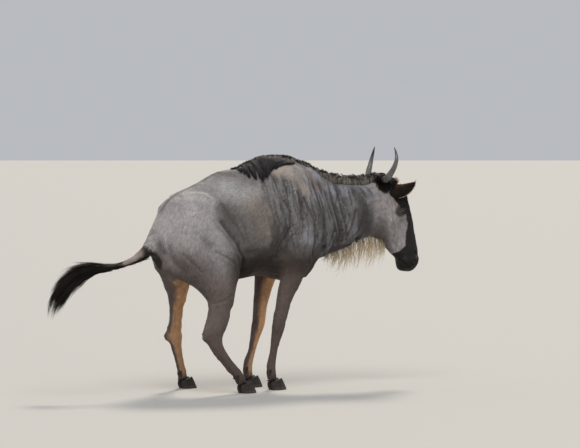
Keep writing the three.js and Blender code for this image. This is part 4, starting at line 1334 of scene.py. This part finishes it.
# Each region of tufts: how many, and the line that its chart is unrolled round
REGIONS = {
    "rear": (27000, [(-760, 0, 850), (-40, 0, 900)]),
    "middle": (25000, [(-80, 0, 850), (350, 0, 900)]),
    "front": (28000, [(300, 0, 850), (960, -60, 980)]),
    "legs": (26000, [(0, 0, 0), (0, 0, 480)]),
    "head": (29000, [(-40, 0, 0), (-40, 0, -520)]),
}
TUFT_SHAPE = 0.29
TUFT_LIFT = 0.1


def make_coat_piece(name, skin, coat, material):
    count, axis = REGIONS[name]
    rng = np.random.default_rng(SEED + len(name))
    region = region_chance(name)
    points, normals = scattered(skin, count, lambda p: region(p) / coat_length(p) ** 1.5, rng)
    along = lie(points, normals)
    length = coat_length(points) * rng.uniform(0.7, 1.25, count)
    lift = TUFT_LIFT * rng.uniform(0.5, 1.6, count)
    verts, faces = tufts(points, normals, along, length, length * TUFT_SHAPE, lift, 0.6)
    tone = coat.tone(points, normals) * rng.uniform(0.92, 1.09, (count, 1))
    shade = np.array([0.95, 0.97, 0.95, 1.0, 1.02, 1.0, 1.05])
    colours = linear((tone[:, None] * shade[None, :, None]).reshape(-1, 3))
    obj = make_object(f"coat_{name}", verts, faces)
    set_tone(obj, colours)
    if name == "head":
        uv = chart(to_head(points), *axis)
    elif name == "legs":
        uv = leg_chart(points)
    else:
        uv = chart(points, *axis)
    blade = np.array([[-0.4, 0], [0, 0], [0.4, 0], [-0.3, 0.5], [0, 0.5], [0.3, 0.5], [0, 1]])
    set_chart(obj, patches(uv, blade))
    return finish_piece(obj, material)


def leg_chart(points):
    """Each leg unrolled round its own middle line, side by side in the unit square."""
    uv = np.empty((len(points), 2))
    fore = points[:, 0] > 20
    left = points[:, 1] > 0
    for i, (f, s) in enumerate([(True, True), (True, False), (False, True), (False, False)]):
        own = (fore == f) & (left == s)
        if own.any():
            middle = points[own].mean(0)
            part = chart(points[own], (middle[0], middle[1], 0), (middle[0], middle[1], 480))
            uv[own] = np.stack([(part[:, 1] + i) / 4, part[:, 0]], -1)
    return uv * (1 - 4 * PATCH) + 2 * PATCH


def make_hair_piece(name, paths, widths, tones, material, roots_uv, rng, replaced=()):
    """One mesh of hairs; tones holds the screen colour at each hair's root and at its tip."""
    turns = unit(rng.normal(size=(len(paths), 3)))
    verts, faces, shares, per = strands(paths, widths, turns)
    root, tip = (np.repeat(t, per, axis=0) for t in tones)
    s = shares[:, None]
    obj = make_object(name, verts, faces)
    set_tone(obj, linear(root * (1 - s) + tip * s))
    shape = np.stack([np.tile([0, 0.5, 1], per // 3 + 1)[:per], shares[:per]], -1)
    set_chart(obj, patches(roots_uv, shape))
    return finish_piece(obj, material, replaced)


def on_skin(tree, points, way):
    """Points moved along a direction onto the skin; those that miss it keep their place."""
    out = points.copy()
    reach = np.asarray(way, float)
    for i, p in enumerate(points):
        hit = tree.ray_cast(Vector(p - 400 * reach), Vector(reach))[0]
        if hit is not None:
            out[i] = hit
    return out


# The fringe's lower edge: [x, z] as seen from the side
FRINGE_EDGE = [
    (-30, 1160),
    (-4, 1130),
    (16, 1100),
    (39, 1092),
    (72, 1078),
    (100, 1078),
    (122, 1110),
    (152, 1136),
    (200, 1156),
    (249, 1174),
    (330, 1184),
    (392, 1186),
]
STEPS = 6


RIDGE_RISE = 23  # how far the mane arches up over the ridge before it falls


def withers_hair(ground, material):
    """Long dark hair that falls from the ridge of the withers over the near shoulder, in separate locks."""
    rng = np.random.default_rng(SEED + 40)
    count, per = 170, 28
    x = np.sort(rng.uniform(-8, 396, count))
    roots = np.stack([x, rng.uniform(-18, 10, count), np.full(count, 1200.0)], -1)
    roots = on_skin(ground.tree, roots, (0, 0, -1))
    edge = np.array(FRINGE_EDGE, float)
    end_x = x - 16 - 88 * smoothstep(x, 70, 330) - rng.uniform(-6, 22, count)
    tip = np.interp(end_x, edge[:, 0], edge[:, 1])
    end_z = tip + (roots[:, 2] - tip) * rng.uniform(0, 0.7, count) ** 1.8
    s = np.linspace(0, 1, STEPS)
    guides = np.empty((count, STEPS, 3))
    guides[:, :, 0] = x[:, None] + (end_x - x)[:, None] * s**1.3
    arch = RIDGE_RISE * smoothstep(x, -30, 90)[:, None] * np.sin(np.minimum(s / 0.5, 1) * np.pi)
    guides[:, :, 2] = roots[:, 2:3] + (end_z - roots[:, 2])[:, None] * s[None] ** 1.5 + arch
    flat = guides.reshape(-1, 3)
    flat[:, 1] = 0
    sides = on_skin(ground.tree, flat, (0, 1, 0)).reshape(guides.shape)[:, :, 1]
    layer = rng.uniform(2, 14, count)[:, None] * (0.4 + 0.6 * np.sin(s * np.pi * 0.8))
    guides[:, :, 1] = np.minimum(sides, 0) - layer
    guides[:, 0] = roots
    offsets = rng.normal(size=(count, per, 3)) * [6.0, 3.0, 1.5]
    paths = locks(guides, offsets, 0.94, 2.2, rng.uniform(0.84, 1.0, (count, per)), rng)
    total = count * per
    root = np.array(WITHERS_ROOT) * rng.uniform(0.6, 1.5, (total, 1))
    tip = np.array(WITHERS_TIP) * rng.uniform(0.6, 1.6, (total, 1))
    # A share of the hairs get pale grey tips as painted sheen
    pale = rng.random((total, 1)) < 0.12
    tip = np.where(pale, np.array(WITHERS_PAINTED_SHEEN), tip)
    uv = chart(paths[:, 0], (-30, 0, 1150), (420, 0, 1150))
    widths = rng.uniform(1.2, 2.2, total)
    return make_hair_piece(
        "mane_withers_hair", paths, widths, (root, tip), material, uv, rng, ["mane_withers"]
    )


CREST = [
    (396, 0, 1200),
    (450, -1, 1184),
    (520, -6, 1154),
    (600, -14, 1128),
    (690, -26, 1114),
    (780, -40, 1112),
    (860, -48, 1116),
    (905, -50, 1114),
]


def crest_hair(ground, material):
    """The upright mane along the neck: straw and grey at the roots, black at the tips."""
    rng = np.random.default_rng(SEED + 41)
    count, per = 270, 13
    line = np.array(CREST, float)
    x = np.linspace(398, 908, count) + rng.uniform(-3, 3, count)
    y = np.interp(x, line[:, 0], line[:, 1])
    top = np.interp(x, line[:, 0], line[:, 2]) + rng.uniform(-8, 10, count)
    roots = np.stack([x, y + rng.uniform(-7, 7, count), np.full(count, 1150.0)], -1)
    roots = on_skin(ground.tree, roots, (0, 0, -1))
    roots[:, 2] -= 3
    rise = np.maximum(top - roots[:, 2], 12)
    s = np.linspace(0, 1, STEPS)
    lean = -rng.uniform(16, 46, count)
    sway = -rng.uniform(2, 22, count) * (rng.random(count) < 0.8)
    fall = rng.uniform(0.0, 0.7, count) ** 1.3 * rise
    guides = roots[:, None] + np.zeros((count, STEPS, 3))
    guides[:, :, 0] += lean[:, None] * s**1.5
    guides[:, :, 1] += sway[:, None] * s**1.2
    guides[:, :, 2] += rise[:, None] * np.sin(np.minimum(s * 1.5, 1) * np.pi / 2) - fall[:, None] * s**3
    floor = on_skin(ground.tree, guides.reshape(-1, 3), (0, 0, -1)).reshape(guides.shape)[:, :, 2]
    guides[:, 1:, 2] = np.maximum(guides[:, 1:, 2], floor[:, 1:] + rng.uniform(3, 9, count)[:, None])
    offsets = rng.normal(size=(count, per, 3)) * [5.0, 4.0, 1.0]
    paths = locks(guides, offsets, 0.86, 1.6, rng.uniform(0.8, 1.0, (count, per)), rng)
    total = count * per
    root = np.array(CREST_ROOT) * rng.uniform(0.4, 1.15, (total, 1))
    tip = np.array(CREST_TIP) * rng.uniform(0.6, 1.5, (total, 1))
    low = np.repeat(smoothstep(fall / rise, 0.3, 0.45)[:, None], per, axis=0)
    pale = (rng.random((total, 1)) < 0.8) * low
    tip = tip * (1 - pale) + np.array(CREST_PALE) * pale
    uv = chart(paths[:, 0], (390, 0, 1080), (920, -50, 1080))
    return make_hair_piece(
        "mane_neck_hair", paths, rng.uniform(1.5, 2.6, total), (root, tip), material, uv, rng,
        ["mane_neck"]
    )


BEARD = [
    (560, -8, 636),
    (612, -14, 588),
    (680, -23, 568),
    (750, -34, 576),
    (820, -43, 586),
    (880, -50, 592),
    (926, -56, 618),
]


def beard_hair(ground, material):
    """Sparse straw-white hair that hangs along the throat."""
    rng = np.random.default_rng(SEED + 42)
    count, per = 72, 9
    line = np.array(BEARD, float)
    x = np.linspace(562, 925, count) + rng.uniform(-4, 4, count)
    y = np.interp(x, line[:, 0], line[:, 1])
    low = np.interp(x, line[:, 0], line[:, 2]) + rng.uniform(2, 66, count)
    roots = np.stack([x, y + rng.uniform(-13, 13, count), np.full(count, 700.0)], -1)
    roots = on_skin(ground.tree, roots, (0, 0, 1))
    roots[:, 2] += 3
    fall = np.maximum(roots[:, 2] - low, 30)
    s = np.linspace(0, 1, STEPS)
    guides = roots[:, None] + np.zeros((count, STEPS, 3))
    bow = rng.uniform(0, 16, count)[:, None] * np.sin(s * np.pi)
    guides[:, :, 0] += (rng.uniform(-60, 2, count))[:, None] * s**2 + bow
    guides[:, :, 1] += (rng.uniform(-8, 8, count))[:, None] * s**1.6
    guides[:, :, 2] -= fall[:, None] * s
    offsets = rng.normal(size=(count, per, 3)) * [6.0, 6.0, 1.0]
    paths = locks(guides, offsets, 0.5, 9.0, rng.uniform(0.5, 1.0, (count, per)), rng)
    total = count * per
    root = np.array(BEARD_ROOT) * rng.uniform(0.8, 1.15, (total, 1))
    tip = np.array(BEARD_TIP) * rng.uniform(0.85, 1.1, (total, 1))
    uv = chart(paths[:, 0], (550, -8, 800), (935, -56, 800))
    return make_hair_piece(
        "beard_hair", paths, rng.uniform(1.3, 2.1, total), (root, tip), material, uv, rng,
        ["beard"]
    )


# The brush: [x, z, half thickness, half height] along its droop, from the underside of the dock
BRUSH = [
    (-524, 712, 7, 5),
    (-600, 690, 10, 7),
    (-660, 672, 13, 10),
    (-710, 660, 16, 14),
    (-775, 652, 24, 26),
    (-850, 648, 32, 48),
    (-936, 626, 38, 70),
    (-1018, 576, 38, 78),
    (-1070, 506, 32, 68),
    (-1098, 444, 24, 48),
    (-1114, 382, 10, 24),
]
BRUSH_SIDE = 20


def tail_hair(material):
    """The black brush: hairs that follow its droop and part into strands at the end."""
    rng = np.random.default_rng(SEED + 43)
    count, per, steps = 165, 25, 8
    line = np.array(BRUSH, float)
    spine = route_through(np.column_stack([line[:, 0], np.full(len(line), BRUSH_SIDE), line[:, 1]]), 60)
    where = np.linspace(0, 1, 60)
    wide = np.interp(where, np.linspace(0, 1, len(line)), line[:, 2])
    high = np.interp(where, np.linspace(0, 1, len(line)), line[:, 3])
    tangent = unit(np.gradient(spine, axis=0))
    up = unit(np.cross(tangent, [0.0, 1.0, 0.0]))
    start = rng.uniform(0, 0.58, count)
    end = np.minimum(start + rng.uniform(0.3, 0.6, count), rng.uniform(0.7, 1.0, count) ** 0.5)
    angle = rng.uniform(0, 2 * np.pi, count)
    angle = np.where((start < 0.3) & (np.sin(angle) > -0.2), -np.pi / 2 + 0.3 * np.cos(angle), angle)
    rim = rng.uniform(0.15, 0.92, count) ** 0.7
    s = np.linspace(0, 1, steps)
    at = start[:, None] + (end - start)[:, None] * s

    def along_spine(values):
        return np.stack([np.interp(at, where, values[:, k]) for k in range(values.shape[1])], -1)

    centre = along_spine(spine)
    upward = along_spine(up)
    w = np.interp(at, where, wide)
    h = np.interp(at, where, high)
    spread = rim[:, None] * (0.3 + 0.75 * s)
    guides = centre + upward * (np.sin(angle)[:, None] * h * spread)[..., None]
    guides[:, :, 1] += np.cos(angle)[:, None] * w * spread
    fling = rng.uniform(0, 46, count) * (np.sin(angle) > 0.3)
    guides[:, :, 0] -= fling[:, None] * s**2.5
    offsets = rng.normal(size=(count, per, 3)) * [5.5, 4.5, 5.5]
    paths = locks(guides, offsets, 0.93, 5.0, rng.uniform(0.78, 1.0, (count, per)), rng)
    total = count * per
    root = np.array(BRUSH_ROOT) * rng.uniform(0.6, 1.6, (total, 1))
    tip = np.array(BRUSH_TIP) * rng.uniform(0.6, 2.2, (total, 1))
    uv = chart(paths[:, 0], (-640, 20, 700), (-1100, 20, 500))
    return make_hair_piece(
        "tail_hair", paths, rng.uniform(1.6, 2.8, total), (root, tip), material, uv, rng,
        ["tail_brush"]
    )


# Short hair that stands off the skin: face, poll, horn bases, ears
def combed(roots, normals, along, length, lift, wave, rng, steps=4):
    """Paths of hairs that leave the skin along it, lifted by a share of their length."""
    s = np.linspace(0, 1, steps)[None, :, None]
    reach = length[:, None, None]
    sideways = np.cross(along, normals)[:, None] * (rng.normal(size=(len(roots), 1, 1)) * wave)
    rise = lift[:, None, None] * (s - 0.45 * s**2) * reach
    return (
        roots[:, None] - normals[:, None] + along[:, None] * s * reach + sideways * s**2 * reach
        + normals[:, None] * rise
    )


def face_hair(skin, material):
    """Coarse dark hair down the front of the face, longest on the forehead."""
    rng = np.random.default_rng(SEED + 44)

    def chance(p):
        forward, _, up = to_head(p).T
        t = -up / HEAD_LENGTH
        inside = (forward > np.interp(t, *BLAZE_LINE) + 3) & (t > 0) & (t < 0.8) & (p[:, 0] > 850)
        return inside * (1.4 - t) * ~near_eyes(p, EYE_RADIUS + 2)

    count = 4200
    roots, normals = scattered(skin, count, chance, rng)
    t = -to_head(roots)[:, 2] / HEAD_LENGTH
    along = lie(roots, normals)
    length = (24 - 19 * smoothstep(t, 0.1, 0.6)) * rng.uniform(0.6, 1.2, count)
    paths = combed(roots, normals, along, length, rng.uniform(0.15, 0.5, count), 0.25, rng)
    root = np.array(BLAZE_BROWN) * rng.uniform(0.5, 1.1, (count, 1))
    tip = np.array(BLAZE_TIP) * rng.uniform(0.5, 1.5, (count, 1))
    uv = chart(to_head(roots), (-40, 0, 0), (-40, 0, -520))
    widths = rng.uniform(1.2, 2.2, count)
    return make_hair_piece("face_hair", paths, widths, (root, tip), material, uv, rng)


HORN_HAIRED = 0.19
PALE_TUFT = (50, 42, -28)


def poll_hair(skin, material):
    """Dark hair that covers the crown and the bases of the horns, with a pale tuft before each."""
    rng = np.random.default_rng(SEED + 45)
    paths, tones, widths = [], [], []
    for side in SIDES.values():
        line, forward_along = horn_route(side)
        count = 1300
        at = (rng.uniform(0, HORN_HAIRED, count) ** 0.8 * HORN_RINGS * 0.9).astype(int)
        along = forward_along[at]
        around = unit(np.cross(along, rng.normal(size=(count, 3))))
        t = at / HORN_RINGS
        radius = 24 * (1 - t) ** 0.7 * (1 - 0.2 * t) + 2.4
        roots = line[at] + around * radius[:, None]
        flow = unit(along + 0.25 * rng.normal(size=(count, 3)) - [0, 0, 0.15])
        length = rng.uniform(15, 27, count) * (1 - 0.35 * smoothstep(t, 0.1, HORN_HAIRED))
        paths.append(combed(roots, around, flow, length, rng.uniform(0.02, 0.18, count), 0.2, rng))
        before = np.linalg.norm(to_head(roots) * [1, side, 1] - PALE_TUFT, axis=1) < 20
        shade = np.where(before[:, None], TUFT_ROOT, FOREHEAD_BROWN * rng.uniform(0.4, 1.1, (count, 1)))
        tones.append(shade)
        widths.append(rng.uniform(1.3, 2.3, count))

    def crown(p):
        forward, out, up = to_head(p).T
        near = np.hypot((forward + 14) / 46, (up + 14) / 50) < 1
        mirrored = np.stack([forward, np.abs(out), up], -1)
        near &= np.linalg.norm(mirrored - PALE_TUFT, axis=1) > 16
        return (near & (np.abs(out) < 92) & (p[:, 0] > 840)).astype(float)

    count = 2200
    roots, normals = scattered(skin, count, crown, rng)
    head = to_head(roots)
    outward = np.stack(
        [
            np.full(len(head), -0.25),
            np.sign(head[:, 1]) * smoothstep(np.abs(head[:, 1]), 0, 40),
            np.full(len(head), -0.55),
        ],
        -1
    )
    flow = outward @ HEAD_AXES.T + 0.3 * rng.normal(size=(count, 3))
    flow = unit(flow - (flow * normals).sum(1, keepdims=True) * normals)
    paths.append(
        combed(roots, normals, flow, rng.uniform(12, 23, count), rng.uniform(0.1, 0.4, count), 0.25, rng)
    )
    tones.append(np.array(FOREHEAD_BROWN) * rng.uniform(0.4, 1.1, (count, 1)))
    widths.append(rng.uniform(1.3, 2.3, count))
    for side in SIDES.values():
        def tuft(p, side=side):
            return (
                np.linalg.norm(to_head(p) - np.array(PALE_TUFT) * [1, side, 1], axis=1) < 14
            ).astype(float)
        count = 260
        roots, normals = scattered(skin, count, tuft, rng)
        flow = np.array([0.45, side * 0.8, 0.1]) @ HEAD_AXES.T + 0.14 * rng.normal(size=(count, 3))
        length = rng.uniform(15, 25, count)
        paths.append(combed(roots, normals, unit(flow), length, rng.uniform(0.3, 0.8, count), 0.15, rng))
        tones.append(np.array(TUFT_TIP) * rng.uniform(0.8, 1.0, (count, 1)))
        widths.append(rng.uniform(1.3, 2.2, count))
    paths, tone, widths = np.concatenate(paths), np.concatenate(tones), np.concatenate(widths)
    uv = chart(to_head(paths[:, 0]), (0, -180, 0), (0, 180, 0))
    return make_hair_piece("poll_hair", paths, widths, (tone * 0.8, tone), material, uv, rng)


def ear_paths(side, share, across, depth, length, rise, rng, steps=4):
    """Paths that run up an ear's leaf from given places, off its surface by depth and then rise."""
    s = np.linspace(0, 1, steps)[None]
    drift = 0.12 * rng.normal(size=(len(share), 1))
    along = share[:, None] + s * (length / EAR_LENGTH)[:, None]
    over = across[:, None] + drift * s
    off = depth[:, None] + s * rise[:, None]
    return ear_surface(side, along, over, off).reshape(len(share), steps, 3)


def ear_hair(material):
    """Dark fur on the backs of the ears, pale hair in their hollows, a red-brown upper rim and a cream lower
    rim brightened as painted rim light.
    """
    rng = np.random.default_rng(SEED + 46)
    paths, tones, widths = [], [], []

    def grow(side, count, share, across, depth, length, rise, tone, width):
        paths.append(ear_paths(side, share, across, depth, length, rise, rng))
        tones.append(np.array(tone, float) * rng.uniform(0.7, 1.2, (count, 1)))
        widths.append(rng.uniform(0.7, 1.2, count) * width)

    for side in SIDES.values():
        count = 1800
        share = rng.uniform(-0.08, 0.94, count)
        across = rng.uniform(-0.74, 0.86, count)
        length = rng.uniform(6, 11, count)
        rise = rng.uniform(0.2, 1.3, count)
        grow(side, count, share, across, np.full(count, 1.2), length, rise, EAR_BROWN, 1.7)
        count = 900
        share = rng.uniform(0.05, 0.9, count)
        across = rng.uniform(-0.95, 0.95, count)
        length = rng.uniform(14, 34, count)
        rise = -rng.uniform(3, 14, count)
        grow(side, count, share, across, np.full(count, -1.0), length, rise, EAR_DOWN, 1.5)
        # The cream lower rim is pale edge hair brightened as painted rim light
        for edge, tone in ((-1, RIM_HAIR_PALE_AND_LIGHT), (1, RIM_RUST)):
            count = 560
            share = rng.uniform(0.08, 0.98, count)
            across = edge * rng.uniform(0.74, 1.04, count)
            depth = rng.uniform(0.2, 2.4, count)
            length = rng.uniform(6, 11, count)
            rise = rng.uniform(-1, 1.6, count)
            grow(side, count, share, across, depth, length, rise, tone, 1.8)
    paths, tone, widths = np.concatenate(paths), np.concatenate(tones), np.concatenate(widths)
    uv = chart(to_head(paths[:, 0]), (0, -240, 0), (0, 240, 0))
    return make_hair_piece("ear_hair", paths, widths, (tone * 0.9, tone), material, uv, rng)


# Eyes
EYE_RINGS = 40
EYE_SIDES = 48


def make_eye(name, side, material):
    """An eyeball with a raised cornea, a dark brown iris and a pupil that is a level slot."""
    centre, (out, along, across) = eye_axes(side)
    polar = np.linspace(0, np.pi, EYE_RINGS + 1)[1:-1]
    turn = np.linspace(0, 2 * np.pi, EYE_SIDES, endpoint=False)
    cornea = 1.6 * smoothstep(np.cos(polar), 0.78, 0.96)
    r = EYE_RADIUS - 1.8 + cornea
    a = np.outer(np.sin(polar), np.cos(turn))
    b = np.outer(np.sin(polar), np.sin(turn))
    c = np.outer(np.cos(polar), np.ones(EYE_SIDES))
    rings = centre + (a[..., None] * along + b[..., None] * across + c[..., None] * out) * r[:, None, None]
    verts, faces = closed_tube(rings)
    faces = faces[:, ::-1] if np.cross(along, across) @ out > 0 else faces
    a, b, c = (np.append(v.ravel(), [0, 0]) for v in (a, b, c))
    c[-2:] = [1, -1]
    away = np.hypot(a, b)
    tone = np.broadcast_to(np.array(EYE_BROWN, float), verts.shape).copy()
    fibres = 0.5 + 0.5 * np.sin(np.arctan2(b, a) * 40)
    iris = (1 - smoothstep(away, 0.6, 0.68)) * (c > 0)
    tone = painted(tone, IRIS_BROWN, iris * (0.7 + 0.3 * fibres))
    tone = painted(tone, IRIS_EDGE, bell(away, 0.64, 0.09) * (c > 0))
    slot = np.hypot(a / 0.36, b / 0.17)
    tone = painted(tone, PUPIL_BLACK, (1 - smoothstep(slot, 0.85, 1.05)) * (c > 0))
    obj = make_object(name, verts, faces)
    set_tone(obj, linear(tone))
    return finish_piece(obj, material, [name])


# Horns
def make_horn_piece(name, side, material):
    verts, faces, t = make_horn(side)
    rings = 0.5 + 0.5 * np.sin(t * 95 + 2.2 * np.sin(t * 17))
    tone = np.broadcast_to(np.array(HORN_GREY, float), verts.shape).copy()
    tone = painted(
        tone, HORN_PALE, 0.6 * noise(verts * [1, 1, 0.4], 12, 33) * (1 - smoothstep(t, 0.5, 0.95))
    )
    tone = painted(tone, HORN_RING_DARK, (1 - rings) * 0.45 * (1 - smoothstep(t, 0.35, 0.6)))
    tone = painted(tone, HORN_TIP, smoothstep(t, 0.72, 0.98) * 0.75)
    obj = make_object(name, verts, faces)
    set_tone(obj, linear(tone))
    return finish_piece(obj, material, [name])


# Hooves
CLAW_LENGTH = 92
CLAW_WIDTH = 34
CLAW_SLOPE = 0.3
CLAW_LEVELS = 40
CLAW_SIDES = 56


def claw_rings(centre, way):
    """One claw: pointed at the toe, nearly straight along the cleft, with growth rings."""
    angle = np.linspace(0, 2 * np.pi, CLAW_SIDES, endpoint=False)
    ahead, out = np.cos(angle), np.sin(angle)
    taper = 0.86 - 0.34 * ahead - 0.16 * ahead**2
    out = out * taper
    swell = np.where(out < 0, 0.62, 1.1)
    rings = []
    for h in np.linspace(0, 1, CLAW_LEVELS):
        wall = np.clip(h / 0.86, 0, 1)
        scale = 1 - 0.3 * wall**1.1 + 0.006 * math.sin(46 * h)
        dome = math.sqrt(max(1 - ((h - 0.86) / 0.15) ** 2, 0.02)) if h > 0.86 else 1
        bevel = 1 - 0.05 * (1 - min(h / 0.05, 1)) ** 2
        scale *= dome * bevel
        bulb = 6 * math.sin(math.pi * min(h / 0.86, 1)) * np.clip(-ahead, 0, 1) ** 2
        x = 20 - 18 * wall + ahead * scale * CLAW_LENGTH / 2 - bulb + 5 * (1 - wall) * np.clip(-ahead, 0, 1)
        y = way * CLAW_WIDTH * (0.48 + out * swell * scale * 0.62)
        top = CORONET + 2 + x * CLAW_SLOPE
        z = top * (wall * 0.94 + 0.06 * h)
        rings.append(centre + np.stack([x, y, z], -1))
    return rings


def dewclaw_rings(at, way, ahead):
    """A dewclaw: a short blunt cone that hangs behind the fetlock."""
    angle = np.linspace(0, 2 * np.pi, 24, endpoint=False)
    rings = []
    for t in np.linspace(0, 1, 22):
        r = (8 - 4 * t**2) * math.sqrt(max(1 - ((t - 0.8) / 0.21) ** 2, 0.03) if t > 0.8 else 1)
        r *= 1 + 0.03 * math.sin(50 * t)
        middle = at + np.array([ahead + 8 - 6 * t, way * (3 * t - 5), 14 - 23 * t])
        rings.append(
            middle + np.stack([np.cos(angle) * r, np.sin(angle) * r * 0.8, 0.25 * np.cos(angle) * r], -1)
        )
    return rings


def make_foot(leg, material):
    """Claws and dewclaws of one foot."""
    side = LEFT if "left" in leg else RIGHT
    pieces = []
    centre = foot_centre(leg)
    for place_name, way in (("inner", -side), ("outer", side)):
        verts, faces = closed_tube(claw_rings(centre, way))
        pieces.append((verts, faces if way > 0 else faces[:, ::-1]))
        at = middle_of(f"{leg}_dewclaw_{place_name}")
        verts, faces = closed_tube(dewclaw_rings(at, way, 2))
        pieces.append((verts, faces[:, ::-1]))
    verts, faces = joined(pieces)
    z = verts[:, 2]
    tone = np.broadcast_to(np.array(HOOF_BROWN, float), verts.shape).copy()
    tone = painted(tone, HOOF_WORN, bell(z, 8, 12) * 0.5)
    tone = painted(tone, HOOF_DARK, smoothstep(z, 28, 60) * 0.6)
    tone *= 1 + 0.3 * (noise(verts * [1, 1, 0.3], 5, 52) - 0.5)[:, None] + 0.1 * np.sin(z * 0.9)[:, None]
    obj = make_object(f"{leg}_foot", verts, faces)
    set_tone(obj, linear(tone))
    nodes = [
        f"{leg}_{kind}_{place_name}" for kind in ("hoof", "dewclaw") for place_name in ("inner", "outer")
    ]
    return finish_piece(obj, material, nodes)


make_camera()
make_studio()
skin = make_skin_shape()
ground = Ground(skin)
coat = Coat(ground)
make_skin_piece(skin, coat, skin_material())
tuft_finish = tuft_material()
for region in REGIONS:
    make_coat_piece(region, skin, coat, tuft_finish)
mane_finish = hair_material("mane_hair")
withers_hair(ground, mane_finish)
crest_hair(ground, mane_finish)
beard_hair(ground, hair_material("beard_hair", 0.6))
dark_finish = hair_material("dark_hair", 0.6)
face_hair(skin, dark_finish)
poll_hair(skin, dark_finish)
ear_hair(hair_material("ear_hair", 0.6))
tail_hair(hair_material("tail_hair", 0.45))
horn_finish, hoof_finish, eye_finish = horn_material(), hoof_material(), eye_material()
for side_name, side in SIDES.items():
    make_horn_piece(f"horn_{side_name}", side, horn_finish)
    make_eye(f"eye_{side_name}", side, eye_finish)
for leg in LEGS:
    make_foot(leg, hoof_finish)
